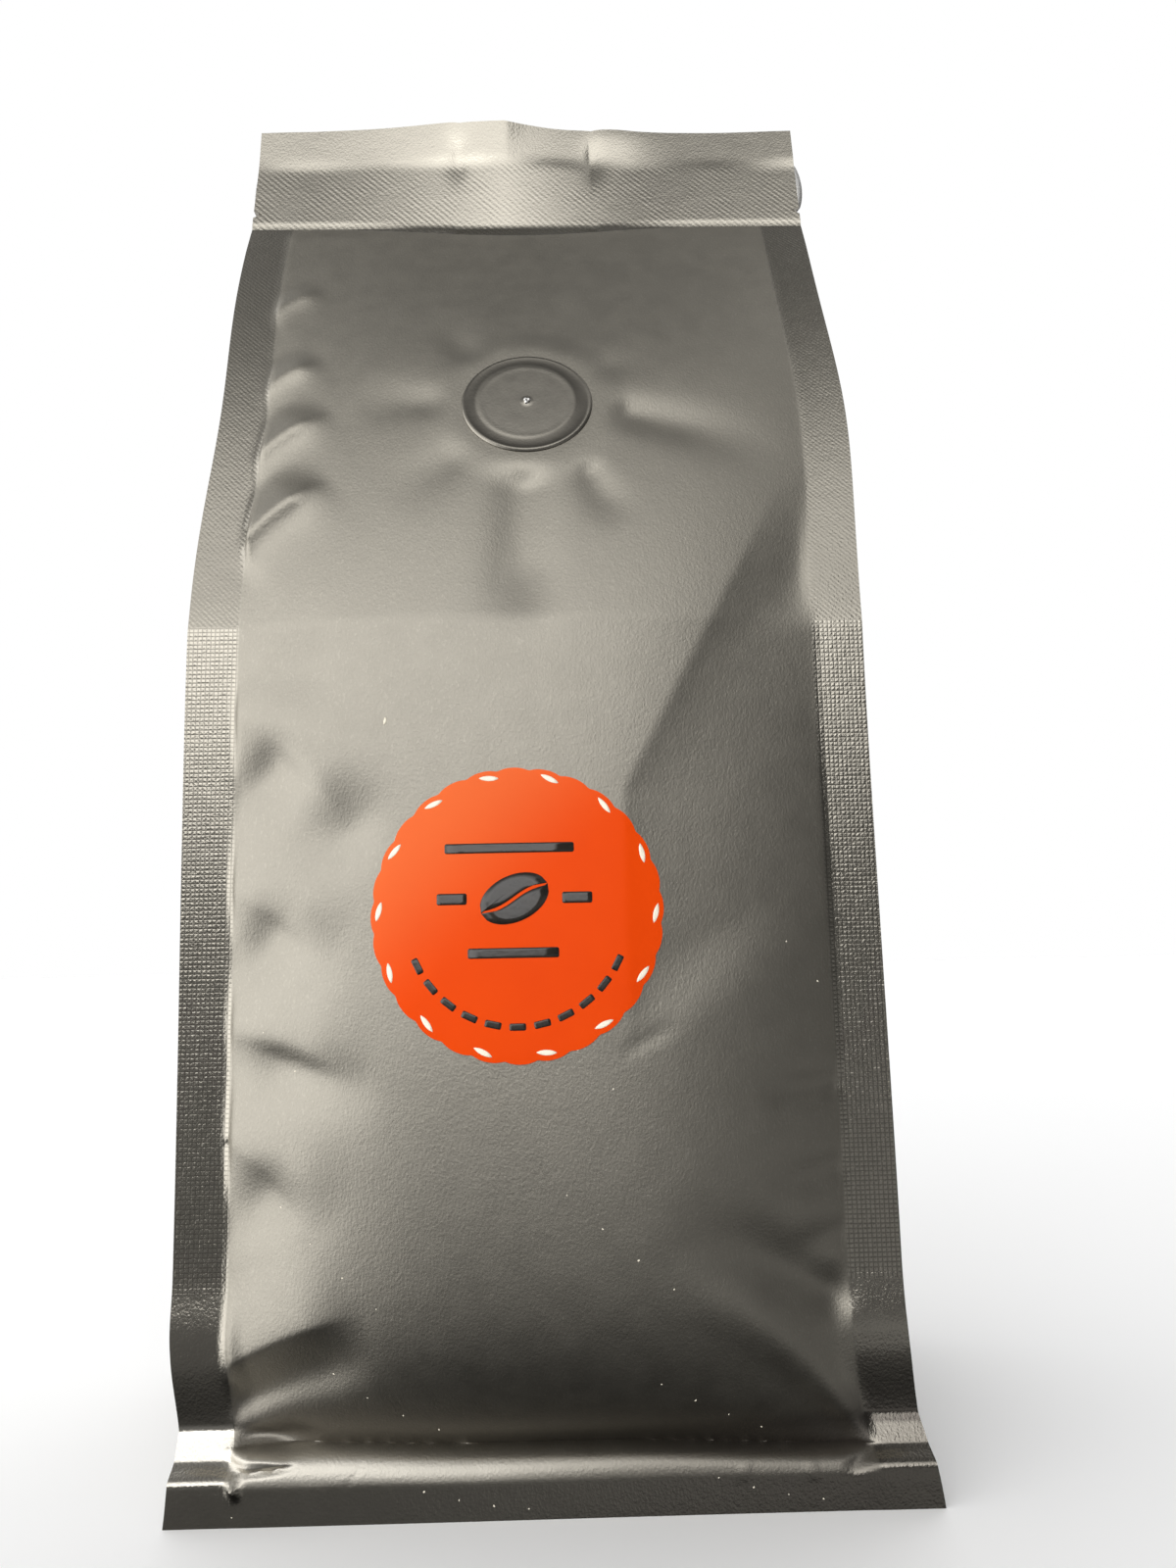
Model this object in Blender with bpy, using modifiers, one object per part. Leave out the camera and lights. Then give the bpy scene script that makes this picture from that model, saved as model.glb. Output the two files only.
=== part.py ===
"""A flat-bottomed coffee bag of matte black film, full and standing upright.

Metres, +Z up.  The front panel faces -Y and the bag is widest along X.  The
origin is on the floor under the middle of the bag.

The bag is one lofted body.  Its front and back panels are two grids of points,
and one strip runs between their edges: down the left gusset, under the bottom
and up the right gusset.  The panels reach past the gussets as flat fins, run
on below the bottom as a skirt, and meet above the gussets as the sealed
header.  The degassing valve and the round label are pieces of their own.
"""
import math
from collections import namedtuple

import bpy
import numpy as np
from mathutils import Vector

# The bag's own sizes
HALF_WIDTH = 0.0600       # middle of a panel to the tip of its corner fin
WAIST = 0.0013            # how much nearer the fin tips stand once the panel swells
FIN = 0.0085              # width of the sealed fin along each upright corner
HALF_DEPTH = 0.0376       # middle of the bag to the plane of its front fins
FILM = 0.0006             # thickness of a fin, of a skirt and of the header's half
GAP = 0.00025             # half the gap between the front and back fins at the seal
BELLY = 0.0138            # how far the coffee would swell a panel past its fins, low down
SLACK = 0.52              # share of that left higher up, where the panel leans back
SIDE_BELLY = 0.0045       # how far it swells a gusset
SKIRT_Z = 0.0080          # height of the crease where the bottom is sealed in
SKIRT_FLARE = 0.0027      # how far the skirt stands out from that crease
FLARE_TOP = 0.0120        # height at which it starts to run out
FLARE_LOW = 0.0050        # height at which it stands upright again
FULL_Z = 0.1420           # level up to which the coffee holds the sides apart
FOLD_RISE = 0.0300        # stretch above that level in which the gussets turn inwards
SEAL_Z = 0.2425           # lower edge of the top seal
TOP_Z = 0.2700            # cut edge of the header
HEADER_LEAN = 0.25        # how steeply the header leans back
HEADER_BOW = 0.0044       # how far its top edge bows forward
BOW_X = -0.0067           # where that bow is sharpest
NOTCH_Z = 0.2467          # height of the tear notches in the header's ends
NOTCH_DEPTH = 0.0020
NOTCH_HALF = 0.0009

# The pieces on the front
CLEARANCE = 0.0003        # air between a piece and the film under it
VALVE_X, VALVE_Z = -0.0013, 0.1863
VALVE_RADIUS = 0.0119
VALVE_HEIGHT = 0.0010
PAD_RADIUS = 0.0150       # flat ground that the valve keeps in the film
PAD_EDGE = 0.0250
LABEL_X, LABEL_Z = -0.0033, 0.0923
LABEL_RADIUS = 0.0235
LABEL_THICKNESS = 0.0003
SCALLOPS = 28
SCALLOP_DEPTH = 0.00045

# A dent starts at a fin's root, at height z on one side (-1 left, 1 right), and
# runs inwards with a tilt in degrees, opening like a fan as it goes.
Dent = namedtuple("Dent", "side z tilt reach width depth")
DENTS = (
    Dent(-1, 0.192, 30, 0.014, 0.0035, 0.0008),
    Dent(-1, 0.176, 31, 0.015, 0.0035, 0.0010),
    Dent(-1, 0.159, 38, 0.018, 0.0045, 0.0012),
    Dent(-1, 0.126, -42, 0.036, 0.0080, 0.0024),
    Dent(-1, 0.095, -42, 0.026, 0.0065, 0.0020),
    Dent(-1, 0.071, -12, 0.028, 0.0045, 0.0017),
    Dent(-1, 0.055, -42, 0.028, 0.0070, 0.0020),
    Dent(1, 0.064, 4, 0.016, 0.0040, 0.0010),
    Dent(1, 0.051, 8, 0.016, 0.0040, 0.0010),
    Dent(1, 0.027, 33, 0.040, 0.0080, 0.0020),
    Dent(-1, 0.018, 20, 0.030, 0.0060, 0.0020),
)

# The flat facet that the right of the front panel folds into
FACET_TOP = (0.0458, 0.1715)      # x and z of its upper tip
FACET_HEEL = (0.0143, 0.1120)     # where its ridge turns straight down
FACET_LOW = 0.0700                # height at which it has died away
FACET_SLOPE = 0.17                # how sharply it turns away at its ridge
FACET_LENGTH = 0.0100             # distance in which it levels out again


def ramp(value, start, end):
    """Rise evenly from 0 at start to 1 at end."""
    return np.clip((value - start) / (end - start), 0.0, 1.0)


def fade(value, start, end):
    """Rise from 0 at start to 1 at end, level at both."""
    t = ramp(value, start, end)
    return t * t * (3 - 2 * t)


def bump(value, middle, half):
    """Bell of height 1 at middle, nearly gone two halves away."""
    return np.exp(-((value - middle) / half) ** 2)


def half_span(z):
    """Half the distance between a panel's fin tips: widest at the skirt and the header."""
    return HALF_WIDTH - WAIST * ramp(z, 0, 0.012) * ramp(z, 0.235, 0.145)


def sway(z):
    """Sideways drift of the bag's axis, which stands a little crooked."""
    foot = 0.0023 * (1 - fade(z, 0, 0.030))
    return foot - 0.0008 - 0.0009 * fade(z, 0.030, 0.140) + 0.0016 * bump(z, 0.187, 0.026)


def upright_plane(z):
    """Depth of a fin's middle plane without the flare: level where full, then closing to the seal."""
    sealed = GAP + FILM / 2
    t = ramp(z, FULL_Z, SEAL_Z)
    closing = 0.354 * t + 0.646 * t ** 1.75
    return HALF_DEPTH - (HALF_DEPTH - sealed) * closing - 0.0008 * bump(z, 0.012, 0.010)


def fin_plane(z):
    """Depth of a fin's middle plane, which runs out to the skirt at the foot."""
    return upright_plane(z) + SKIRT_FLARE * ramp(z, FLARE_TOP, FLARE_LOW)


def belly(z):
    """Swell of a panel's middle line: quick above the skirt, most low down, slack above the coffee."""
    rise = 1 - np.exp(-np.maximum(z - SKIRT_Z, 0) / 0.0125)
    slack = SLACK + (1 - SLACK) * bump(z, 0.030, 0.075)
    fall = np.where(z < 0.030, 1.0, slack) - 0.14 * fade(z, 0.125, 0.185)
    rounding = 0.0010 * bump(z, FULL_Z, 0.020)
    return (BELLY * rise * fall - rounding) * (1 - fade(z, 0.190, SEAL_Z))


def header_middle(x, z):
    """Depth of the header's middle: leaning back, with its top edge bowed forward."""
    rise = np.maximum(z - SEAL_Z, 0)
    reach = np.where(x < BOW_X, 0.055, 0.040)
    tent = np.clip(1 - np.abs(x - BOW_X) / reach, 0, 1) ** 1.3
    return HEADER_LEAN * rise - HEADER_BOW * tent * rise / (TOP_Z - SEAL_Z)


def dent_depth(dent, x, z):
    """Depth that one dent takes off the front: a fan from the root, deepest at a third of its reach."""
    root = half_span(dent.z) - FIN
    tilt = math.radians(dent.tilt)
    inward = -dent.side * (x - sway(dent.z)) + root
    along = inward * math.cos(tilt) + (z - dent.z) * math.sin(tilt)
    across = (z - dent.z) * math.cos(tilt) - inward * math.sin(tilt)
    t = np.clip(along / dent.reach, 0, 1)
    width = dent.width * (0.35 + 0.9 * t)
    return dent.depth * 6.75 * t * (1 - t) ** 2 * np.exp(-(across / width) ** 2)


def facet_depth(x, z):
    """Depth that the right-hand facet takes off, from its ridge line to the fin's root.

    Away from the ridge it grows as 1 minus e to the minus distance over a
    length, times 1 minus the square of the share of the way to the root.
    """
    rise = ramp(z, FACET_HEEL[1], FACET_TOP[1])
    ridge = FACET_HEEL[0] + (FACET_TOP[0] - FACET_HEEL[0]) * rise
    root = half_span(z) - FIN + sway(z)
    away = np.maximum(x - ridge, 0)
    t = np.clip(away / np.maximum(root - ridge, 0.001), 0, 1)
    ends = fade(z, FACET_LOW, 0.090) * ramp(z, FACET_TOP[1], 0.150)
    return FACET_SLOPE * FACET_LENGTH * (1 - np.exp(-away / FACET_LENGTH)) * (1 - t ** 2) * ends


def swelling(x, z):
    """How far a panel stands past its fins, before any dent."""
    root = half_span(z) - FIN
    return belly(z) * (1 - np.clip(np.abs(x - sway(z)) / root, 0, 1) ** 2.5)


def valve_ground(x, z):
    """The flat, tilted ground that the valve holds in the front film, as a depth."""
    step = 0.005
    level = float(plain_front(VALVE_X, VALVE_Z))
    slope = float(plain_front(VALVE_X, VALVE_Z + step) - plain_front(VALVE_X, VALVE_Z - step))
    return level + slope / (2 * step) * (z - VALVE_Z)


def plain_front(x, z):
    """Depth of the front film's outside without dents and without the valve's pad."""
    return -fin_plane(z) - FILM / 2 - swelling(x, z)


def front_depth(x, z):
    """Depth of the front film's outside."""
    worn = sum(dent_depth(dent, x, z) for dent in DENTS) + facet_depth(x, z)
    bare = plain_front(x, z) + worn * fade(swelling(x, z), 0, 0.002)
    distance = np.hypot(x - VALVE_X, z - VALVE_Z)
    hold = 1 - fade(distance, PAD_RADIUS, PAD_EDGE)
    return bare * (1 - hold) + valve_ground(x, z) * hold + header_middle(x, z)


def back_depth(x, z):
    """Depth of the back film's outside."""
    return header_middle(x, z) + fin_plane(z) + FILM / 2 + swelling(x, z)


def notch(u, z):
    """How far the tear notch pulls in the ends of a panel, at most at their very edge."""
    return NOTCH_DEPTH * np.clip(1 - np.abs(z - NOTCH_Z) / NOTCH_HALF, 0, 1) * (np.abs(u) > 0.999)


def panel(u, z, depth):
    """Points of a panel: u runs from -1 to 1 across it, depth is its depth function."""
    x = sway(z) + u * (half_span(z) - notch(u, z))
    return np.stack([x, depth(x, z), z + 0 * u], axis=-1)


def spaced(*stretches):
    """Join runs of evenly spaced numbers, each stretch being (start, end, count of gaps)."""
    runs = [np.linspace(start, end, gaps, endpoint=False) for start, end, gaps in stretches]
    return np.append(np.concatenate(runs), stretches[-1][1])


def rows():
    """Heights of the panels' rows, closer at the skirt, the valve and the notches."""
    return spaced((0, SKIRT_Z, 2), (SKIRT_Z, 0.028, 4), (0.028, FULL_Z, 14), (FULL_Z, SEAL_Z, 15),
                  (SEAL_Z, NOTCH_Z - NOTCH_HALF, 1), (NOTCH_Z - NOTCH_HALF, NOTCH_Z, 1),
                  (NOTCH_Z, NOTCH_Z + NOTCH_HALF, 1), (NOTCH_Z + NOTCH_HALF, TOP_Z, 3))


def columns():
    """Places of the panels' columns across them, closer beside the fins' roots."""
    root = 1 - FIN / (HALF_WIDTH - WAIST)
    return spaced((-1, -root, 2), (-root, -0.7, 3), (-0.7, 0.7, 18), (0.7, root, 3), (root, 1, 2))


def gusset_half(z, side):
    """Points from a fin's tip to a gusset's centre fold at height z, all on the front half.

    Where the bag is full the gusset swells out.  Above, it folds in by the leg
    of the right triangle whose hypotenuse is its flat half width.
    """
    span = half_span(z)
    root = span - FIN
    gap = upright_plane(z) - FILM / 2
    flat = HALF_DEPTH - FILM / 2
    folded = math.sqrt(max(flat ** 2 - gap ** 2, 0)) * float(fade(z, FULL_Z, FULL_Z + FOLD_RISE))
    swell = SIDE_BELLY * float(ramp(z, 0, 0.020)) * float(1 - fade(z, 0.110, 0.160))
    points = [(sway(z) + side * span, FILM / 2 - fin_plane(z), z)]
    for s in (0.0, 0.06, 0.20, 0.50, 1.0):
        out = swell * (1 - (1 - s) ** 2.5) - folded * s
        points.append((sway(z) + side * (root + out), -gap * (1 - s), z))
    return points


def bottom_half(u, corner, edge):
    """Points from the skirt's inner edge to the middle of the bottom, in column u.

    corner is the gusset's profile at the crease.  The bottom spans between the
    two gussets and comes down to the floor in a quarter round all the way round.
    """
    span = half_span(0)
    points = [(sway(0) + span * u, -fin_plane(0) + FILM / 2, 0.0)]
    for x, y, z in corner[1:]:
        reach = abs(x - sway(SKIRT_Z))
        inset = min((1 - abs(u) / edge) * reach, abs(corner[1][1]) - abs(y))
        t = min(inset / SKIRT_Z, 1)
        height = SKIRT_Z * (1 - math.sqrt(t * (2 - t)))
        points.append((sway(SKIRT_Z) + reach * u / edge, y, height))
    return points


def mirrored(half):
    """A front half profile and its mirror image behind it, sharing the centre point."""
    return half + [(x, -y, z) for x, y, z in reversed(half[:-1])]


def strip_stations(heights, places):
    """Stations down the left edge, along the skirt and up the right one.

    Each is (row, column, profile), where profile is None above the seal.
    """
    edge = 1 - FIN / HALF_WIDTH
    last = len(places) - 1
    crease = int(np.argmin(abs(heights - SKIRT_Z)))

    def upright(row, side):
        z = float(heights[row])
        if z > SEAL_Z + 1e-9:
            return None
        half = gusset_half(z, side)
        if row < crease:
            half = half[:1] + gusset_half(SKIRT_Z, side)[1:]
        return mirrored(half)

    stations = [(row, 0, upright(row, -1)) for row in range(len(heights) - 1, 0, -1)]
    for column, u in enumerate(places):
        side = -1 if u < 0 else 1
        inner = max(-edge, min(edge, float(u)))
        half = bottom_half(inner, gusset_half(SKIRT_Z, side), edge)
        half[0] = (sway(0) + half_span(0) * u, half[0][1], 0.0)
        stations.append((0, column, mirrored(half)))
    stations += [(row, last, upright(row, 1)) for row in range(1, len(heights))]
    return stations


def add_face(faces, corners):
    """Keep a face's distinct corners, in order, if at least three are left."""
    kept = [c for i, c in enumerate(corners) if c not in corners[:i]]
    if len(kept) > 2:
        faces.append(kept)


def panel_faces(grid, outward):
    """Quads of a panel's grid of vertex numbers, turned round where it faces the back."""
    faces = []
    for row in range(grid.shape[0] - 1):
        for column in range(grid.shape[1] - 1):
            quad = [grid[row, column], grid[row, column + 1],
                    grid[row + 1, column + 1], grid[row + 1, column]]
            faces.append([int(v) for v in (quad if outward else reversed(quad))])
    return faces


def pouch_shell():
    """Vertices and faces of the whole bag as one closed shell."""
    heights, places = rows(), columns()
    u, z = np.meshgrid(places, heights)
    front = panel(u, z, front_depth)
    back = panel(u, z, back_depth)
    points = [tuple(p) for p in front.reshape(-1, 3)] + [tuple(p) for p in back.reshape(-1, 3)]
    front_grid = np.arange(u.size).reshape(u.shape)
    back_grid = front_grid + u.size
    faces = panel_faces(front_grid, True) + panel_faces(back_grid, False)

    known = {}

    def number(point):
        key = tuple(round(c * 1e6) for c in point)
        if key not in known:
            known[key] = len(points)
            points.append(point)
        return known[key]

    rings = []
    for row, column, profile in strip_stations(heights, places):
        ends = int(front_grid[row, column]), int(back_grid[row, column])
        inner = [] if profile is None else [number(p) for p in profile]
        rings.append([ends[0]] + inner + [ends[1]])
    for ring, following in zip(rings, rings[1:]):
        if len(ring) == len(following):
            for i in range(len(ring) - 1):
                add_face(faces, [ring[i + 1], following[i + 1], following[i], ring[i]])
        elif len(ring) < len(following):
            close_pocket(faces, following, ring, False)
        else:
            close_pocket(faces, ring, following, True)
    top_front, top_back = front_grid[-1], back_grid[-1]
    for c in range(len(places) - 1):
        add_face(faces, [int(v) for v in (top_front[c], top_front[c + 1], top_back[c + 1], top_back[c])])
    return points, faces


def close_pocket(faces, full, ends, going_up):
    """Close the air between the folds under the seal, where the header's plain edge begins."""
    last = len(full) - 1
    edge = [full[0], full[1], full[last - 1], full[last], ends[1], ends[0]]
    faces.append(edge if going_up else edge[::-1])
    for i in range(1, last // 2):
        quad = [full[i], full[i + 1], full[last - i - 1], full[last - i]]
        add_face(faces, quad if going_up else quad[::-1])


def finish(name, colour, roughness, metallic):
    """A Principled material of one colour."""
    material = bpy.data.materials.new(name)
    material.use_nodes = True
    shader = material.node_tree.nodes["Principled BSDF"]
    shader.inputs["Base Color"].default_value = (*colour, 1)
    shader.inputs["Roughness"].default_value = roughness
    shader.inputs["Metallic"].default_value = metallic
    return material


def add_object(collection, name, points, faces, material):
    """Make a smooth-shaded object from points and faces."""
    mesh = bpy.data.meshes.new(name)
    mesh.from_pydata(points, [], faces)
    mesh.validate()
    mesh.shade_smooth()
    mesh.materials.append(material)
    item = bpy.data.objects.new(name, mesh)
    collection.objects.link(item)
    return item


def make_pouch(collection):
    """The film bag itself."""
    points, faces = pouch_shell()
    film = finish("matte_film", (0.075, 0.073, 0.068), 0.42, 0.85)
    pouch = add_object(collection, "pouch", points, faces, film)
    pouch.data.set_sharp_from_angle(angle=math.radians(40))
    return pouch


def make_valve(collection):
    """The degassing valve: a turned disc with a rounded rim and a shallow step, on its pad."""
    r, h = VALVE_RADIUS, VALVE_HEIGHT
    profile = [(0, h * 0.70), (r * 0.70, h * 0.72), (r * 0.78, h * 0.60), (r * 0.86, h * 0.95),
               (r * 0.93, h), (r * 0.98, h * 0.72), (r, h * 0.25), (r, 0), (0, 0)]
    points = [(x, 0, z) for x, z in profile]
    edges = [(i, i + 1) for i in range(len(points) - 1)]
    mesh = bpy.data.meshes.new("valve")
    mesh.from_pydata(points, edges, [])
    mesh.materials.append(finish("valve_film", (0.075, 0.073, 0.068), 0.40, 0.85))
    valve = bpy.data.objects.new("valve", mesh)
    collection.objects.link(valve)
    turn = valve.modifiers.new("turn", "SCREW")
    turn.steps = turn.render_steps = 48
    turn.use_merge_vertices = True
    turn.merge_threshold = 0.00001
    slope = (valve_ground(0, VALVE_Z + 0.01) - valve_ground(0, VALVE_Z)) / 0.01
    normal = Vector((0, -1, slope)).normalized()
    ground = Vector((VALVE_X, valve_ground(VALVE_X, VALVE_Z), VALVE_Z))
    valve.location = ground + normal * CLEARANCE
    valve.rotation_mode = "QUATERNION"
    valve.rotation_quaternion = normal.to_track_quat("Z", "Y")
    return valve


def label_point(radius, angle):
    """A point of the label's back, wrapped on the front film."""
    x = LABEL_X + radius * math.cos(angle)
    z = LABEL_Z + radius * math.sin(angle)
    return x, float(front_depth(x, z)) - CLEARANCE, z


def make_label(collection):
    """The round label: a thin disc with a scalloped edge that follows the swollen film."""
    spokes = SCALLOPS * 3
    shares = (0.30, 0.60, 0.85, 1.0)
    points = [label_point(0, 0)]
    for share in shares:
        for k in range(spokes):
            angle = 2 * math.pi * k / spokes
            scallop = SCALLOP_DEPTH * abs(math.sin(angle * SCALLOPS / 2)) * share
            points.append(label_point((LABEL_RADIUS - SCALLOP_DEPTH) * share + scallop, angle))
    faces = [(0, 1 + k, 1 + (k + 1) % spokes) for k in range(spokes)]
    for ring in range(len(shares) - 1):
        inner, outer = 1 + ring * spokes, 1 + (ring + 1) * spokes
        for k in range(spokes):
            following = (k + 1) % spokes
            faces.append((inner + k, outer + k, outer + following, inner + following))
    paper = finish("orange_vinyl", (0.90, 0.075, 0.010), 0.30, 0.0)
    label = add_object(collection, "label", points, faces, paper)
    wall = label.modifiers.new("wall", "SOLIDIFY")
    wall.thickness = LABEL_THICKNESS
    wall.offset = 1
    return label


def main():
    for item in list(bpy.data.objects):
        bpy.data.objects.remove(item, do_unlink=True)
    collection = bpy.data.collections.new("coffee_bag")
    bpy.context.scene.collection.children.link(collection)
    make_pouch(collection)
    make_valve(collection)
    make_label(collection)


main()
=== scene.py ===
import math
from collections import namedtuple

import bpy
import numpy as np
from mathutils import Matrix, Vector


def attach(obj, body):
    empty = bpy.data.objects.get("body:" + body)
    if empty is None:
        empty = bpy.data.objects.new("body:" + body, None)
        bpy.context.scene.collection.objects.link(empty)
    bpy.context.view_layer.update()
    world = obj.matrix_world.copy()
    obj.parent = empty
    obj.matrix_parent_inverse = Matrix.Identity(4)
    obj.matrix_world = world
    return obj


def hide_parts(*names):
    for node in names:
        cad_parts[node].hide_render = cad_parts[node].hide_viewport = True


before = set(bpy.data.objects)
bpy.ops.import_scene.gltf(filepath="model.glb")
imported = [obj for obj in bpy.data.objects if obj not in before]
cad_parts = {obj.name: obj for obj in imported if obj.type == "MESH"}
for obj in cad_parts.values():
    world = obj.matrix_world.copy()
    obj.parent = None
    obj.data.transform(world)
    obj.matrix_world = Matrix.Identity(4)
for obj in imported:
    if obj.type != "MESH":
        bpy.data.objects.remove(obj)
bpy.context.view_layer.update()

# ---------------------------------------------------------------- sizes, in metres

MM = 0.001

# The bag, as in the frame: front towards -Y, up towards +Z
HALF_WIDTH = 0.0600       # middle of a panel to the tip of its corner fin
WAIST = 0.0013            # how much nearer the fin tips stand once the panel swells
FIN = 0.0085              # width of the sealed fin along each upright corner
HALF_DEPTH = 0.0376       # middle of the bag to the plane of its front fins
FILM = 0.0006             # thickness of a fin, of a skirt and of the header's half
GAP = 0.00025             # half the gap between the front and back fins at the seal
BELLY = 0.0138            # how far the coffee would swell a panel past its fins, low down
SLACK = 0.52              # share of that left higher up, where the panel leans back
SIDE_BELLY = 0.0045       # how far it swells a gusset
SKIRT_Z = 0.0092          # height of the crease where the bottom is sealed in
LEDGE = 0.0031            # how far the skirt stands out at once below that crease
LEDGE_BEND = 0.00035
SKIRT_FLARE = 0.0017      # how far it runs out below the ledge
SKIRT_BEND = 0.0040       # height over which the skirt turns upright
SKIRT_LEAN = 0.05         # how steeply it leans back in below that
FIN_SLOPE = 0.47          # how steeply the fins run out to the skirt
FIN_FLARE = (0.0122, 0.0080)      # heights between which they do
FIN_LEDGE = 0.0027        # how far they then stand out at once
FULL_Z = 0.1420           # level up to which the coffee holds the sides apart
FOLD_RISE = 0.0300        # stretch above that level in which the gussets turn inwards
SEAL_Z = 0.2425           # lower edge of the ribbed seal
SEAM_DROP = 0.0026        # how much lower that edge lies near the middle
SEAM_MIDDLE = -0.0040
SEAM_HALF = 0.0420
LIP_Z = 0.2595            # upper edge of the ribbed seal, where the smooth lip begins
TOP_Z = 0.2700            # cut edge of the header
FIN_STEP_Z = 0.0330       # height on the fins where their embossed net ends
HEADER_LEAN = 0.25        # how steeply the header leans back
HEADER_BOW = 0.0044       # how far its top edge bows forward
BOW_X = -0.0067           # where that bow is sharpest
FOLD_LEFT, FOLD_RIGHT = -0.0174, 0.0132   # inner folds of the two gussets, seen in the header
FOLD_STEP = 0.0003        # how far the header stands out where the gussets lie inside it
NOTCH_Z = 0.2467          # height of the tear notches in the header's ends
NOTCH_DEPTH = 0.0020
NOTCH_HALF = 0.0009

# The pieces on the front
VALVE_X, VALVE_Z = -0.0013, 0.1863
VALVE_RADIUS = 0.0119
PAD_RADIUS = 0.0128       # flat ground that the valve keeps in the film
PAD_EDGE = 0.0190
LABEL_X, LABEL_Z = -0.0033, 0.0923
LABEL_RADIUS = 0.0235
LABEL_LIFT = 0.00006      # air between the film and the label's back
LABEL_THICKNESS = 0.00014
SCALLOPS = 28
SCALLOP_DEPTH = 0.00045

# ---------------------------------------------------------------- folds of the front panel

# A fold is a groove (height below 0) or a ridge (above 0) from (x0, z0) to
# (x1, z1) on the front, all in millimetres.  Its half width grows from w0 to
# w1, skew makes its upper side wider (above 0) or steeper (below 0), bow bends
# its line upwards in the middle, and hold is the share of its length after
# which it fades out.
Fold = namedtuple("Fold", "x0 z0 x1 z1 height w0 w1 skew bow hold")

SIDE_DENTS = (
    Fold(50.1, 64.0, 35.6, 62.5, -1.10, 1.8, 3.4, 0.0, 0.0, 0.50),
    Fold(49.6, 51.0, 36.6, 48.0, -0.90, 2.0, 3.4, 0.0, 0.0, 0.50),
    Fold(50.6, 40.5, 39.6, 39.0, -0.80, 2.0, 3.0, 0.0, 0.0, 0.50),
)

# A bowl is a round hollow or hump about (x, z), with a half width to its left,
# right, above and below, along axes turned by so many degrees.
Bowl = namedtuple("Bowl", "x z height left right above below turn")

BOWLS = (
    Bowl(-40.0, 134.0, -0.5, 7.0, 6.0, 8.0, 6.0, -20),
    Bowl(-43.6, 117.5, -1.9, 5.0, 7.0, 4.0, 9.0, -42),
    Bowl(-32.0, 106.5, -1.2, 9.0, 5.5, 6.0, 7.0, -42),
    Bowl(-42.6, 89.5, -2.0, 5.5, 7.0, 4.0, 9.0, -32),
    Bowl(-40.6, 68.6, -1.9, 7.0, 10.0, 3.2, 5.5, -16),
    Bowl(-42.6, 49.0, -1.9, 5.5, 6.5, 4.0, 9.0, -38),
)

CORNER_FOLDS = (
    # the deep hollow and the long ridge that run up from the right bottom corner
    Fold(50.0, 28.0, 22.6, 44.0, -1.80, 3.0, 6.5, 0.0, 1.0, 0.45),
    Fold(52.1, 7.5, 22.6, 37.0, 1.30, 1.6, 5.5, 0.0, 2.0, 0.45),
    # the hollow under the left one's crease, and the pointed ridge below it
    Fold(-51.8, 14.0, -27.0, 26.4, -1.60, 4.2, 5.2, 0.05, -0.4, 0.66),
    Fold(-51.6, 11.4, -25.4, 21.6, 0.62, 1.0, 4.6, 0.0, 1.0, 0.40),
    Fold(-50.4, 9.9, -35.4, 11.4, -0.90, 0.8, 2.0, 0.0, 0.4, 0.60),
    # the lobe above the skirt, its shadow line and the crumpled corner
    Fold(-55.0, 9.2, -40.2, 8.9, 1.50, 1.6, 0.8, 0.0, 0.8, 0.75),
    Fold(-49.6, 7.4, -39.6, 8.1, -0.60, 0.40, 0.4, 0.0, -0.3, 0.80),
    Fold(-51.4, 6.3, -47.4, 5.1, 0.80, 0.6, 0.5, 0.0, 0.5, 0.80),
    Fold(-50.6, 4.9, -46.8, 7.0, -0.60, 0.4, 0.4, 0.0, 0.0, 0.80),
    Fold(-49.0, 7.0, -47.2, 3.9, 0.60, 0.5, 0.7, 0.0, 0.0, 0.70),
)

VALVE_PUCKERS = (
    Fold(11.2, 185.4, 46.6, 176.0, -1.15, 2.6, 6.5, 0.0, 0.8, 0.35),
    Fold(8.6, 173.0, 14.9, 160.0, -0.75, 2.2, 4.0, 0.0, 0.0, 0.45),
    Fold(-1.9, 177.0, -2.1, 142.5, -1.70, 4.0, 6.0, 0.12, 0.0, 0.70),
    Fold(-10.4, 178.5, -24.4, 165.0, -0.60, 2.6, 5.4, 0.0, 0.0, 0.35),
    Fold(-13.4, 186.5, -34.4, 188.0, -0.70, 2.4, 5.5, 0.1, 0.0, 0.35),
    Fold(-9.9, 196.0, -19.4, 210.0, -0.70, 2.2, 5.0, 0.0, 0.0, 0.35),
    Fold(2.6, 198.5, 7.6, 217.0, -0.70, 2.2, 5.0, 0.0, 0.0, 0.35),
    Fold(9.6, 192.5, 20.6, 199.0, -0.40, 1.8, 4.0, 0.0, 0.0, 0.35),
)

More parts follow.
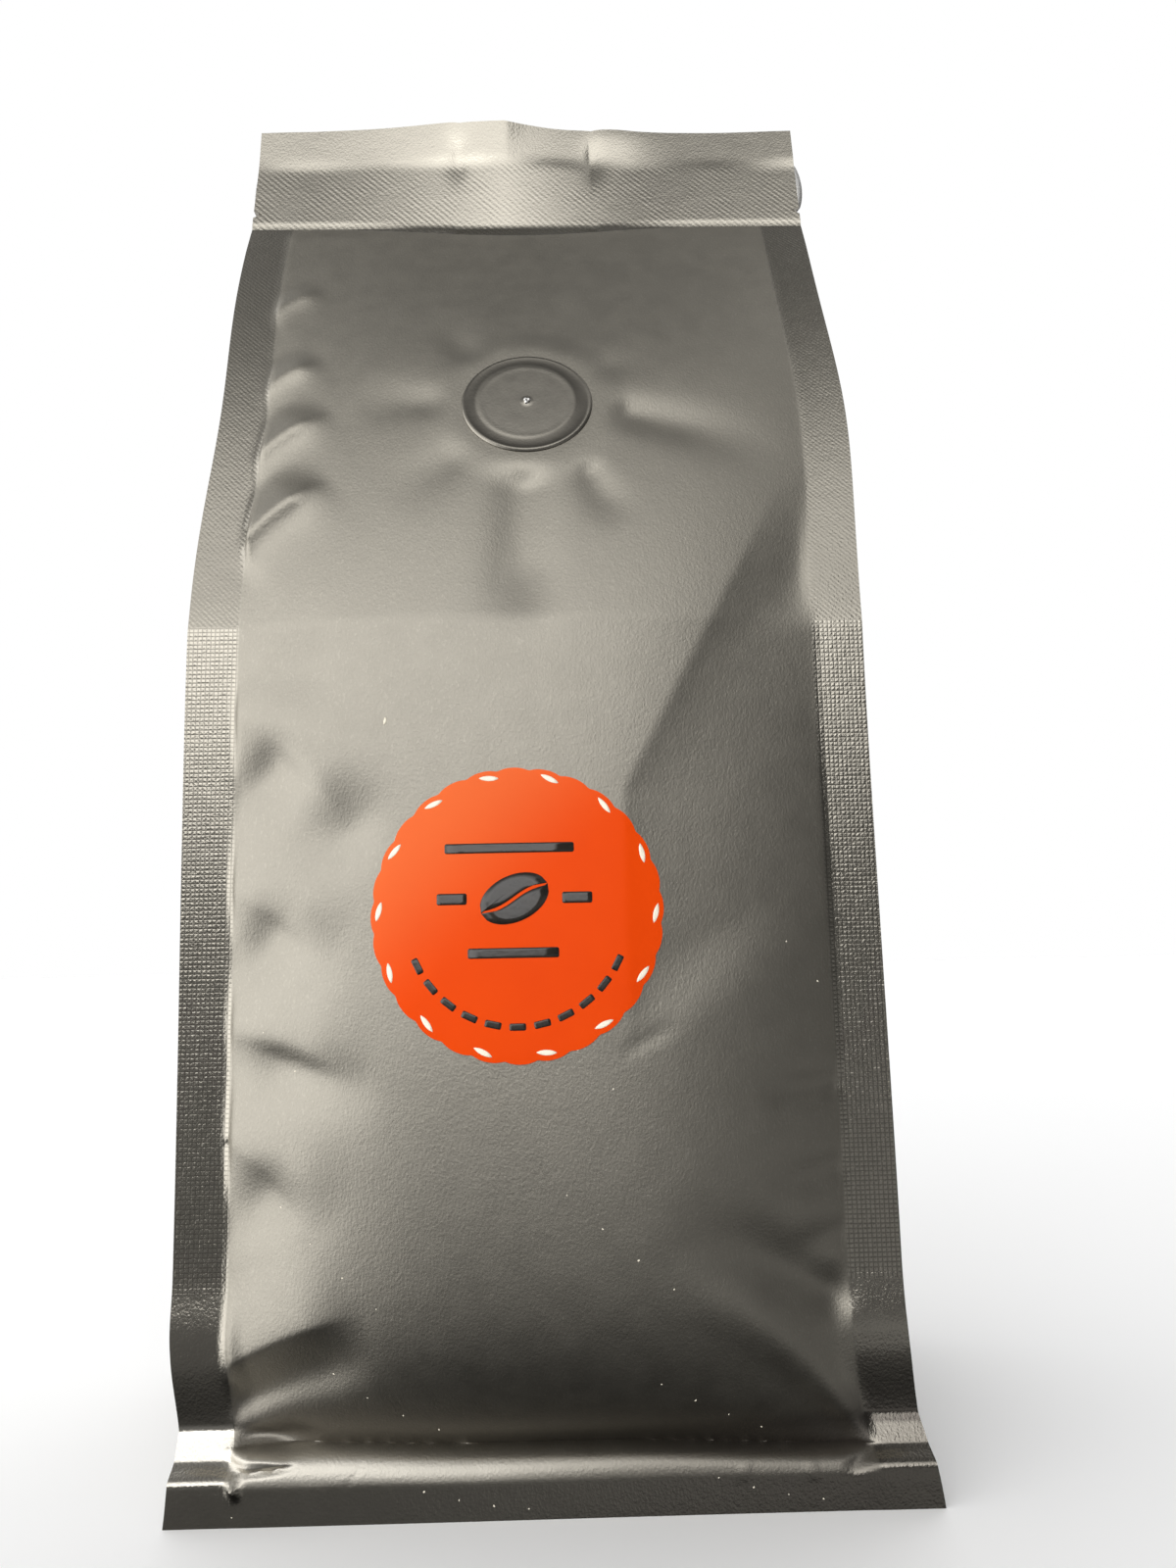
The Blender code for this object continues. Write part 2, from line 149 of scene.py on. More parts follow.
CREASES = (
    # thin pressed lines
    Fold(-52.4, 142.6, -44.4, 133.0, 0.12, 0.30, 0.45, 0.0, 0.0, 0.70),
    Fold(-3.9, 155.0, -4.9, 142.5, 0.06, 0.3, 0.3, 0.0, 0.4, 0.60),
    Fold(-3.0, 156.0, -4.2, 144.0, 0.05, 0.3, 0.3, 0.0, 0.4, 0.60),
    Fold(12.6, 69.6, 22.6, 74.0, -0.22, 0.5, 1.2, 0.3, 0.3, 0.50),
    Fold(30.2, 4.4, 31.4, 8.4, 0.22, 0.3, 0.4, 0.0, 0.0, 0.60),
    Fold(41.4, 4.4, 40.8, 8.0, 0.28, 0.3, 0.5, 0.0, 0.0, 0.60),
    Fold(-31.4, 4.6, -27.4, 9.2, -0.12, 0.22, 0.22, 0.0, 0.0, 0.70),
    Fold(53.1, 7.8, 46.6, 6.0, -0.90, 0.7, 0.9, 0.0, 0.3, 0.60),
)

# A crest is a fold with a sharp back: the film rises to it over one length from
# above and falls away over another below.
Crest = namedtuple("Crest", "x0 z0 x1 z1 height above below bow")

CRESTS = (
    Crest(-53.6, 212.6, -43.4, 219.8, 1.20, 5.0, 2.4, 1.0),
    Crest(-53.8, 190.0, -41.4, 198.8, 1.90, 6.0, 2.6, 1.2),
    Crest(-53.8, 173.6, -38.6, 185.0, 2.40, 6.8, 2.8, 1.4),
    Crest(-53.8, 155.6, -37.6, 169.2, 2.90, 8.0, 3.2, 1.6),
    Crest(-56.0, 130.0, -30.6, 107.0, 1.20, 14.0, 6.0, 2.4),
    Crest(-56.0, 99.4, -34.6, 86.0, 1.10, 14.0, 5.6, 1.0),
    Crest(-56.0, 75.4, -29.0, 67.6, 1.00, 14.0, 4.4, 0.6),
    Crest(-56.0, 60.4, -35.0, 44.6, 1.10, 14.0, 5.6, 0.8),
    Crest(-53.0, 20.4, -29.6, 31.6, 1.40, 11.0, 3.8, 1.0),
)

# The flat facet that the right of the front panel folds into
FACET_TOP = (0.0458, 0.1715)      # x and z of its upper tip
FACET_HEEL = (0.0143, 0.1120)     # where its ridge turns straight down
FACET_LOW = 0.0700                # height of its lower edge at that ridge
FACET_SLANT = 0.55                # how steeply the lower edge climbs to the right
FACET_SLOPE = 0.17        # how sharply it turns away at its ridge
FACET_LENGTH = 0.0100


def ramp(value, start, end):
    """Rise evenly from 0 at start to 1 at end."""
    return np.clip((value - start) / (end - start), 0.0, 1.0)


def fade(value, start, end):
    """Rise from 0 at start to 1 at end, level at both: t * t * (3 - 2 t)."""
    t = ramp(value, start, end)
    return t * t * (3 - 2 * t)


def bump(value, middle, half):
    """Bell of height 1 at middle: e to the minus square of the distance in halves."""
    return np.exp(-((value - middle) / half) ** 2)


def half_span(z):
    """Half the distance between a panel's fin tips: widest at the skirt and the header."""
    return HALF_WIDTH - WAIST * ramp(z, 0, 0.012) * ramp(z, 0.235, 0.145)


def sway(z):
    """Sideways drift of the bag's axis, which stands a little crooked."""
    foot = 0.0023 * (1 - fade(z, 0, 0.030))
    return foot - 0.0008 - 0.0009 * fade(z, 0.030, 0.140) + 0.0016 * bump(z, 0.187, 0.026)


def upright_plane(z):
    """Depth of the fins' middle plane without the flare: level where full, then closing to the seal.

    The closing share is 0.354 t + 0.646 t to the power 1.75, which starts with
    a kink at the level of the coffee.
    """
    sealed = GAP + FILM / 2
    t = ramp(z, FULL_Z, SEAL_Z)
    closing = 0.354 * t + 0.646 * t ** 1.75
    return HALF_DEPTH - (HALF_DEPTH - sealed) * closing - 0.0008 * bump(z, 0.012, 0.010)


def fin_flare(z):
    """How far the fins stand out at the foot: a soft step under the net, a slope, a ledge and a lean in."""
    step = 0.0011 * fade(z, 0.0355, 0.0245) * (1 - fade(z, 0.0230, 0.0110))
    slope = FIN_SLOPE * np.clip(FIN_FLARE[0] - z, 0, FIN_FLARE[0] - FIN_FLARE[1])
    lean = SKIRT_LEAN * np.maximum(0.0045 - z, 0)
    return slope + FIN_LEDGE * fade(z, FIN_FLARE[1] + 0.0004, FIN_FLARE[1] - 0.0018) - lean + step


def fin_plane(z):
    """Depth of the fins' middle plane."""
    return upright_plane(z) + fin_flare(z)


def crease_rise(x):
    """How much higher than its usual height the crease above the skirt lies."""
    return 0.0008 * fade(x, -0.010, -0.040) - 0.0011 * fade(x, 0.010, 0.045)


def skirt_flare(x, z):
    """How far the skirt stands out: a ledge, 1 minus the square of what is left of the bend, and a lean in."""
    drop = np.maximum(SKIRT_Z + crease_rise(x) - z, 0)
    right = fade(x, -0.030, 0.040)
    bend = SKIRT_BEND - 0.0010 * right
    left = np.clip(1 - drop / bend, 0, 1)
    ledge = (LEDGE + 0.0007 * right) * (1 - np.exp(-drop / LEDGE_BEND))
    return ledge + (SKIRT_FLARE - 0.0009 * right) * (1 - left ** 2) - SKIRT_LEAN * np.maximum(drop - bend, 0)


def belly(z):
    """Swell of a panel's middle line: quick above the skirt, most at an eighth of the height.

    It rises as 1 minus e to the minus height over 12.5 mm, falls off above as a
    bell down to its slack share, sinks again where the sides close, and is
    rounded where they start to.
    """
    rise = 1 - np.exp(-np.maximum(z - SKIRT_Z, 0) / 0.0125)
    fall = np.where(z < 0.030, 1.0, SLACK + (1 - SLACK) * bump(z, 0.030, 0.075)) - 0.14 * fade(z, 0.125, 0.185)
    rounding = 0.0010 * bump(z, FULL_Z, 0.020)
    return (BELLY * rise * fall - rounding) * (1 - fade(z, 0.190, SEAL_Z))


def seam_drop(x):
    """How much lower the seal's edge lies in the middle than at the ends."""
    return SEAM_DROP * fade(np.abs(x - SEAM_MIDDLE), SEAM_HALF, 0)


def header_middle(x, z):
    """Depth of the header's middle: leaning back, its top edge bowed forward as a tent."""
    rise = np.maximum(z + seam_drop(x) - SEAL_Z, 0)
    reach = np.where(x < BOW_X, 0.044, 0.030)
    tent = np.clip(1 - np.abs(x - BOW_X) / reach, 0, 1) ** 1.3
    lip = np.maximum(z - LIP_Z, 0) * (0.03 + 0.08 * fade(x, 0.004, -0.020))
    return HEADER_LEAN * rise - HEADER_BOW * tent * rise / (TOP_Z - SEAL_Z) - lip


def along_across(fold, x, z):
    """Share of the way along a fold's line, and millimetres above it, its bow taken off."""
    px, pz = x / MM, z / MM
    run, climb = fold.x1 - fold.x0, fold.z1 - fold.z0
    length = math.hypot(run, climb)
    along = ((px - fold.x0) * run + (pz - fold.z0) * climb) / length ** 2
    across = ((pz - fold.z0) * run - (px - fold.x0) * climb) / length * math.copysign(1, run)
    t = np.clip(along, 0, 1)
    return along, across - fold.bow * 4 * t * (1 - t)


def fold_relief(fold, x, z, growing=False):
    """Height of one fold: its height, times an envelope along it, times a bell across it.

    The envelope rises as a smooth step over the first fifth and falls after the
    fold's hold; a growing fold also gets deeper as it gets wider.  Across, the
    bell's half width differs on its two sides.
    """
    along, across = along_across(fold, x, z)
    middle_width = fold.w0 + (fold.w1 - fold.w0) * np.clip(along, 0, 1)
    width = middle_width * np.where(across > 0, 1 + fold.skew, 1 - fold.skew)
    envelope = fade(along, -0.04, 0.12 if growing else 0.20) * (1 - fade(along, fold.hold, 1.15))
    if growing:
        envelope = envelope * middle_width / fold.w1
    return MM * fold.height * envelope * np.exp(-(across / width) ** 2)


def bowl_relief(bowl, x, z):
    """Height of one bowl: e to the minus squares of the distances in half widths along its turned axes."""
    px, pz = x / MM - bowl.x, z / MM - bowl.z
    c, n = math.cos(math.radians(bowl.turn)), math.sin(math.radians(bowl.turn))
    side, up = px * c + pz * n, pz * c - px * n
    across = side / np.where(side < 0, bowl.left, bowl.right)
    rise = up / np.where(up < 0, bowl.below, bowl.above)
    return MM * bowl.height * np.exp(-across ** 2 - rise ** 2)


def crest_relief(crest, x, z):
    """Height of one crest: above, 1 minus the distance over a length, to the power 1.4; below, e to the minus.

    The distance is rounded within a third of a millimetre, and the envelope
    along the crest is a smooth step up over its first fifth and down over its last third.
    """
    along, across = along_across(crest, x, z)
    rounding = 0.35
    distance = np.hypot(across, rounding) - rounding
    upper = np.clip(1 - distance / crest.above, 0, 1) ** 1.4
    envelope = fade(along, -0.05, 0.20) * (1 - fade(along, 0.68, 1.08))
    return MM * crest.height * envelope * np.where(across > 0, upper, np.exp(-distance / crest.below))


def facet_depth(x, z):
    """Depth that the right-hand facet takes off, from its ridge line to the fin's root.

    Away from the ridge it grows as 1 minus e to the minus distance over a
    length, times 1 minus a power of the share of the way to the root.  The
    power is high at the top, where the film turns back sharply at the root.
    """
    rise = ramp(z, FACET_HEEL[1], FACET_TOP[1])
    ridge = FACET_HEEL[0] + (FACET_TOP[0] - FACET_HEEL[0]) * rise
    root = half_span(z) - FIN + sway(z)
    away = np.maximum(x - ridge, 0)
    t = np.clip(away / np.maximum(root - ridge, MM), 0, 1)
    power = 1.6 + 7 * fade(z, 0.138, 0.155)
    floor = FACET_LOW + FACET_SLANT * np.maximum(x - FACET_HEEL[0], 0)
    ends = fade(z, floor - 0.002, floor + 0.012) * ramp(z, FACET_TOP[1], 0.150)
    return FACET_SLOPE * FACET_LENGTH * (1 - np.exp(-away / FACET_LENGTH)) * (1 - t ** power) * ends


def slack_waves(x, z):
    """Slow uneven waves of the slack film: three crossed sines of unlike lengths."""
    first = np.sin(x / 0.0171 + z / 0.0236 + 0.7)
    second = np.sin(x / 0.0118 - z / 0.0157 + 2.1)
    third = np.sin(x / 0.0263 - z / 0.0094 + 4.0)
    return 0.00010 * first + 0.00007 * second + 0.00008 * third


def swelling(x, z):
    """How far a panel stands past its fins: the belly times 1 minus the 2.5th power of x."""
    root = half_span(z) - FIN
    over_floor = z - crease_rise(x) * ramp(z, 0.040, 0.015)
    return belly(over_floor) * (1 - np.clip(np.abs(x - sway(z)) / root, 0, 1) ** 2.5)


def plain_front(x, z):
    """Depth of the front film's outside without folds and without the valve's pad."""
    root = half_span(z) - FIN
    on_fin = fade(np.abs(x - sway(z)), root - 0.0040, root + 0.0005)
    foot = skirt_flare(x, z) * (1 - on_fin) + fin_flare(z) * on_fin
    return -upright_plane(z) - foot - FILM / 2 - swelling(x, z)


def valve_ground(x, z):
    """The flat, tilted ground that the valve holds in the film: the tangent plane at its middle."""
    step = 0.005
    level = float(plain_front(VALVE_X, VALVE_Z))
    slope = float(plain_front(VALVE_X, VALVE_Z + step) - plain_front(VALVE_X, VALVE_Z - step))
    return level + slope / (2 * step) * (z - VALVE_Z)


def front_depth(x, z):
    """Depth of the front film's outside: plain form, minus folds, flat under the valve."""
    root = half_span(z) - FIN
    inside = 1 - fade(np.abs(x - sway(z)), root - 0.0012, root + 0.0004)
    folds = sum(fold_relief(fold, x, z) for fold in VALVE_PUCKERS + CREASES)
    folds = folds + sum(fold_relief(fold, x, z, True) for fold in SIDE_DENTS)
    folds = folds + sum(crest_relief(crest, x, z) for crest in CRESTS)
    folds = folds + sum(bowl_relief(bowl, x, z) for bowl in BOWLS)
    corners = sum(fold_relief(fold, x, z) for fold in CORNER_FOLDS)
    panel_only = fade(z, SKIRT_Z - 0.001, SKIRT_Z + 0.003) * (1 - fade(z, SEAL_Z - 0.004, SEAL_Z))
    wear_and_painted_light = (folds + slack_waves(x, z) * panel_only) * inside - facet_depth(x, z) * inside + corners * inside
    bare = plain_front(x, z) - wear_and_painted_light * (z < SEAL_Z)
    distance = np.hypot(x - VALVE_X, z - VALVE_Z)
    hold = 1 - fade(distance, PAD_RADIUS, PAD_EDGE)
    return bare * (1 - hold) + valve_ground(x, z) * hold + header_face(x, z, -1)


def header_face(x, z, side):
    """Relief of the header: layered outside the gussets' folds, with a soft pinch at each fold."""
    band = ramp(z + seam_drop(x), SEAL_Z, SEAL_Z + MM)
    layered = fade(x, FOLD_LEFT + 0.0003, FOLD_LEFT - 0.0003) + fade(x, FOLD_RIGHT - 0.0003, FOLD_RIGHT + 0.0003)
    lip = fade(z, LIP_Z - 0.001, LIP_Z + 0.003)
    pinch = 0.0006 * (bump(x, FOLD_LEFT, 0.0022) + bump(x, FOLD_RIGHT, 0.0022)) * bump(z, LIP_Z + 0.002, 0.005)
    flutter = 0.0004 * lip * np.sin(x / 0.0085 + 0.6) * np.sin(x / 0.0212 + 1.9)
    flute = 0.0010 * bump(x, 0.0180, 0.0075) * fade(z, LIP_Z - 0.001, TOP_Z)
    flute = flute - 0.0004 * np.exp(-np.abs(x - FOLD_RIGHT) / 0.0010) - 0.0002 * np.exp(-np.abs(x - FOLD_LEFT) / 0.0008)
    return header_middle(x, z) + (side * FOLD_STEP * layered - pinch * side + flutter - flute) * band


def back_depth(x, z):
    """Depth of the back film's outside: the front's mirror image with slack waves of its own."""
    root = half_span(z) - FIN
    inside = 1 - fade(np.abs(x - sway(z)), root - 0.0012, root + 0.0004)
    panel_only = fade(z, SKIRT_Z - 0.001, SKIRT_Z + 0.003) * (1 - fade(z, SEAL_Z - 0.004, SEAL_Z))
    dents = sum(fold_relief(fold, -x * 0.97, z + 0.006, True) for fold in SIDE_DENTS)
    dents = dents + sum(crest_relief(crest, x * 0.97, z + 0.009) for crest in CRESTS)
    dents = dents + sum(bowl_relief(bowl, -x * 0.97, z + 0.006) for bowl in BOWLS)
    wear_and_painted_light = (slack_waves(-x, z + 0.05) * 1.5 + dents) * panel_only * inside
    return -plain_front(x, z) + wear_and_painted_light + header_face(x, z, 1)


# ---------------------------------------------------------------- the film bag's mesh

def spaced(*stretches):
    """Join runs of evenly spaced numbers, each stretch being (start, end, count of gaps)."""
    runs = [np.linspace(start, end, gaps, endpoint=False) for start, end, gaps in stretches]
    return np.append(np.concatenate(runs), stretches[-1][1])


ROWS = spaced((0, 0.0064, 12), (0.0064, 0.0082, 6), (0.0082, 0.0102, 16), (0.0102, 0.034, 56), (0.034, FULL_Z, 96), (FULL_Z, 0.2385, 80), (0.2385, SEAL_Z, 14),
              (SEAL_Z, NOTCH_Z - NOTCH_HALF, 3), (NOTCH_Z - NOTCH_HALF, NOTCH_Z, 2),
              (NOTCH_Z, NOTCH_Z + NOTCH_HALF, 2), (NOTCH_Z + NOTCH_HALF, TOP_Z, 22))
# Columns count roots: -1 and 1 are the roots of the fins, -2 and 2 are their tips
COLUMNS = spaced((-2, -1, 7), (-1, -0.45, 46), (-0.45, 0.25, 36), (0.25, 1, 50), (1, 2, 7))
GUSSET_STEPS = np.array([0, 0.02, 0.06, 0.12, 0.20, 0.30, 0.42, 0.56, 0.70, 0.83, 0.93, 1.0])


def panel(columns, z, depth):
    """Points of a panel: across a root for each column up to 1, then across the fin up to 2.

    Only the outermost column is pulled in by the tear notch, a V in height.
    """
    root = half_span(z) - FIN
    size = np.abs(columns)
    out = root * np.minimum(size, 1) + FIN * np.maximum(size - 1, 0)
    out = out - NOTCH_DEPTH * np.clip(1 - np.abs(z - NOTCH_Z) / NOTCH_HALF, 0, 1) * (size > 1.999)
    x = sway(z) + np.sign(columns) * out
    return np.stack([x, depth(x, z), z], axis=-1)


def gusset_profile(z, side):
    """Front halves of a gusset at heights z: fin tip, root, then in steps to the centre fold.

    Where the bag is full the gusset swells out by swell * (1 - (1 - s)^2.5).
    Above, it folds in by the leg of the right triangle whose hypotenuse is its
    flat half width.  A pressed groove runs down the centre fold.
    """
    z = np.asarray(z, dtype=float)[:, None]
    s = GUSSET_STEPS[None, :]
    root = half_span(z) - FIN
    gap = upright_plane(z) - FILM / 2
    flat = HALF_DEPTH - FILM / 2
    folded = np.sqrt(np.maximum(flat ** 2 - gap ** 2, 0)) * fade(z, FULL_Z, FULL_Z + FOLD_RISE)
    swell = SIDE_BELLY * ramp(z, 0, 0.020) * (1 - fade(z, 0.110, 0.160))
    hollow = 4 * s * (1 - s) * fade(z, 0.010, 0.030) * (1 - fade(z, 0.150, 0.200))
    waves = 0.0007 * np.sin(z / 0.0083 + side * 1.3 + 3.5 * s) * hollow
    groove = 0.0013 * bump(s, 1, 0.07) * fade(z, 0.010, 0.022) * (1 - fade(z, 0.140, 0.160))
    out = swell * (1 - (1 - s) ** 2.5) - folded * s - waves - groove
    x = sway(z) + side * (root + out)
    inner = np.stack([x, -gap * (1 - s), z + 0 * s], axis=-1)
    tip = np.stack([sway(z) + side * half_span(z), -fin_plane(z) + FILM / 2, z], axis=-1)
    return np.concatenate([tip, inner], axis=1)


def bottom_profile(columns):
    """Front halves of the bottom: from the skirt's inner edge to the bottom's middle line.

    The bottom spans between the two gussets' profiles at the crease, and comes
    down from it to the floor in a quarter round: height = r * (1 - sqrt(t (2 - t))).
    """
    corners = np.concatenate([gusset_profile([SKIRT_Z], side) for side in (-1, 1)])[:, 1:]
    corner = corners[(columns > 0).astype(int)]
    inner = np.clip(columns, -1, 1)[:, None]
    reach = np.abs(corner[:, :, 0] - sway(SKIRT_Z))
    inset = np.minimum((1 - np.abs(inner)) * reach, np.abs(corner[:, :1, 1]) - np.abs(corner[:, :, 1]))
    t = np.clip(inset / SKIRT_Z, 0, 1)
    height = SKIRT_Z * (1 - np.sqrt(t * (2 - t)))
    inside = np.stack([sway(SKIRT_Z) + reach * inner, corner[:, :, 1], height], axis=-1)
    root = half_span(0) - FIN
    size = np.abs(columns)
    tip_x = sway(0) + np.sign(columns) * (root * np.minimum(size, 1) + FIN * np.maximum(size - 1, 0))
    tip = np.stack([tip_x, plain_front(tip_x, 0 * tip_x) + FILM, 0 * tip_x], axis=-1)
    return np.concatenate([tip[:, None], inside], axis=1)


def strip_points():
    """Profiles of the strip between the panels, down the left, under the bottom and up the right."""
    heights = ROWS[(ROWS > 0) & (ROWS < SEAL_Z + 1e-9)]
    at_crease = np.maximum(heights, SKIRT_Z)
    halves = []
    for side in (-1, 1):
        half = gusset_profile(at_crease, side)
        half[:, :1] = gusset_profile(heights, side)[:, :1]
        halves.append(half)
    half = np.concatenate([halves[0][::-1], bottom_profile(COLUMNS), halves[1]])
    behind = half[:, -2::-1] * np.array([1, -1, 1])
    return np.concatenate([half, behind], axis=1)


def without_doubles(quads):
    """Quads that keep four corners, and the triangles left of quads with two corners in one."""
    same = quads == np.roll(quads, -1, axis=1)
    count = same.sum(axis=1)
    triangles = quads[count == 1][~same[count == 1]].reshape(-1, 3)
    return quads[count == 0].tolist() + triangles.tolist()


def grid_quads(grid, outward):
    """Quads of a grid of vertex numbers, turned round where the grid faces the back."""
    quads = np.stack([grid[:-1, :-1], grid[:-1, 1:], grid[1:, 1:], grid[1:, :-1]], axis=-1).reshape(-1, 4)
    return quads if outward else quads[:, ::-1]


def film_shell():
    """Points, faces and the share of sealed film at each point, of the whole bag as one closed shell."""
    columns, z = np.meshgrid(COLUMNS, ROWS)
    front, back = panel(columns, z, front_depth), panel(columns, z, back_depth)
    strip = strip_points()
    flat = np.round(strip.reshape(-1, 3) * 1e7).astype(np.int64)
    _, first, number = np.unique(flat, axis=0, return_index=True, return_inverse=True)
    points = np.concatenate([front.reshape(-1, 3), back.reshape(-1, 3), strip.reshape(-1, 3)[first]])
    front_grid = np.arange(z.size).reshape(z.shape)
    back_grid = front_grid + z.size
    inner = number.reshape(strip.shape[:2]) + 2 * z.size

    seal_row = int(np.argmin(np.abs(ROWS - SEAL_Z)))
    last = len(COLUMNS) - 1
    down, up = np.arange(seal_row, 0, -1), np.arange(1, seal_row + 1)
    row = np.concatenate([down, np.zeros(last + 1, int), up])
    column = np.concatenate([0 * down, np.arange(last + 1), 0 * up + last])
    ring = np.concatenate([front_grid[row, column][:, None], inner, back_grid[row, column][:, None]], axis=1)
    ring_quads = np.stack([ring[:-1, 1:], ring[1:, 1:], ring[1:, :-1], ring[:-1, :-1]], axis=-1).reshape(-1, 4)

    above = np.arange(seal_row + 1, len(ROWS))
    left = np.stack([front_grid[above, 0], back_grid[above, 0]], axis=-1)
    right = np.stack([back_grid[above, last], front_grid[above, last]], axis=-1)
    edges = [np.concatenate([side[:-1], side[1:, ::-1]], axis=1)[:, ::-1] for side in (left, right)]
    top = np.stack([front_grid[-1, :-1], front_grid[-1, 1:], back_grid[-1, 1:], back_grid[-1, :-1]], axis=-1)

    faces = grid_quads(front_grid, True).tolist() + grid_quads(back_grid, False).tolist()
    faces += without_doubles(ring_quads) + np.concatenate(edges + [top]).tolist()
    faces += close_pocket(ring[0], left[0], False) + close_pocket(ring[-1], right[0][::-1], True)

    sealed_panel = fade(np.abs(columns), 0.995, 1.0) + fade(z, 0.0062, 0.0048)
    sealed_panel = sealed_panel + fade(z + seam_drop(front[..., 0]), SEAL_Z - 0.0002, SEAL_Z)
    sealed_panel = np.clip(sealed_panel, 0, 1)
    strip_sealed = np.zeros(strip.shape[:2])
    strip_sealed[:, [0, -1]] = 1
    sealed = np.concatenate([sealed_panel.ravel(), sealed_panel.ravel(), strip_sealed.ravel()[first]])
    return points, faces, sealed


def close_pocket(full, ends, going_up):
    """Close the air between the folds under the seal, where the header's plain edge begins."""
    last = len(full) - 1
    edge = np.array([full[0], full[1], full[last - 1], full[last], ends[1], ends[0]])
    i = np.arange(1, last // 2)
    quads = np.stack([full[i], full[i + 1], full[last - i - 1], full[last - i]], axis=-1)
    if going_up:
        return [edge.tolist()] + without_doubles(quads)
    return [edge[::-1].tolist()] + without_doubles(quads[:, ::-1])


def add_mesh(name, points, faces, material, sharp=None):
    """Make a smooth-shaded piece at the origin, with edges sharper than an angle kept sharp."""
    mesh = bpy.data.meshes.new(name)
    mesh.from_pydata(points.tolist(), [], faces)
    mesh.shade_smooth()
    if sharp is not None:
        mesh.set_sharp_from_angle(angle=math.radians(sharp))
    mesh.materials.append(material)
    piece = bpy.data.objects.new(name, mesh)
    bpy.context.scene.collection.objects.link(piece)
    return piece


def add_value(piece, name, values):
    """Keep one number for each point of a piece, for its material to read."""
    attribute = piece.data.attributes.new(name, "FLOAT", "POINT")
    attribute.data.foreach_set("value", np.ascontiguousarray(values, dtype=np.float32))


# ---------------------------------------------------------------- finishes

class Finish:
    """A material while it is made: its shader, and short calls that add nodes to it."""

    def __init__(self, name, colour, roughness, metallic=0.0, **settings):
        self.material = bpy.data.materials.new(name)
        self.material.use_nodes = True
        self.tree = self.material.node_tree
        self.shader = self.tree.nodes["Principled BSDF"]
        self.put(self.shader.inputs["Base Color"], (*colour, 1))
        self.put(self.shader.inputs["Roughness"], roughness)
        self.put(self.shader.inputs["Metallic"], metallic)
        for key, value in settings.items():
            self.put(self.shader.inputs[key.replace("_", " ")], value)
        self.place = self.tree.nodes.new("ShaderNodeTexCoord").outputs["Object"]
        axes = self.tree.nodes.new("ShaderNodeSeparateXYZ")
        self.tree.links.new(self.place, axes.inputs[0])
        self.x, self.y, self.z = axes.outputs

    def put(self, socket, value):
        """Give a socket a link or a plain value."""
        if isinstance(value, bpy.types.NodeSocket):
            self.tree.links.new(value, socket)
        else:
            socket.default_value = value

    def math(self, operation, first, second=0.0, third=0.0):
        """One sum on numbers or links."""
        node = self.tree.nodes.new("ShaderNodeMath")
        node.operation = operation
        for socket, value in zip(node.inputs, (first, second, third)):
            self.put(socket, value)
        return node.outputs[0]

    def add(self, *terms):
        total = terms[0]
        for term in terms[1:]:
            total = self.math("ADD", total, term)
        return total

    def times(self, *terms):
        total = terms[0]
        for term in terms[1:]:
            total = self.math("MULTIPLY", total, term)
        return total

    def step(self, value, start, end, low=0.0, high=1.0):
        """Smooth step of a value from low at start to high at end."""
        node = self.tree.nodes.new("ShaderNodeMapRange")
        node.interpolation_type = "SMOOTHSTEP"
        for name, number in (("Value", value), ("From Min", start), ("From Max", end),
                             ("To Min", low), ("To Max", high)):
            self.put(node.inputs[name], number)
        return node.outputs["Result"]

    def noise(self, scale, detail=2.0, roughness=0.5, stretch=None):
        """Noise between 0 and 1 in object coordinates."""
        node = self.tree.nodes.new("ShaderNodeTexNoise")
        place = self.place
        if stretch is not None:
            mapping = self.tree.nodes.new("ShaderNodeMapping")
            self.put(mapping.inputs["Vector"], place)
            mapping.inputs["Scale"].default_value = stretch
            place = mapping.outputs[0]
        self.put(node.inputs["Vector"], place)
        node.inputs["Scale"].default_value = scale
        node.inputs["Detail"].default_value = detail
        node.inputs["Roughness"].default_value = roughness
        return node.outputs[0]

    def wave(self, value, pitch):
        """Sine of a length in metres with a pitch in metres."""
        return self.math("SINE", self.math("MULTIPLY", value, 2 * math.pi / pitch))

    def attribute(self, name):
        """A number kept on the points of the piece."""
        node = self.tree.nodes.new("ShaderNodeAttribute")
        node.attribute_name = name
        return node.outputs["Fac"]

    def mix(self, share, first, second):
        """Colour between first and second."""
        node = self.tree.nodes.new("ShaderNodeMix")
        node.data_type = "RGBA"
        self.put(node.inputs["Factor"], share)
        colours = [socket for socket in node.inputs if socket.type == "RGBA"]
        for socket, value in zip(colours, (first, second)):
            self.put(socket, value if isinstance(value, bpy.types.NodeSocket) else (*value, 1))
        return [socket for socket in node.outputs if socket.type == "RGBA"][0]

    def relief(self, height, distance=1.0):
        """Bump the surface by a height in metres."""
        node = self.tree.nodes.new("ShaderNodeBump")
        node.inputs["Distance"].default_value = distance
        self.put(node.inputs["Height"], height)
        self.put(self.shader.inputs["Normal"], node.outputs[0])


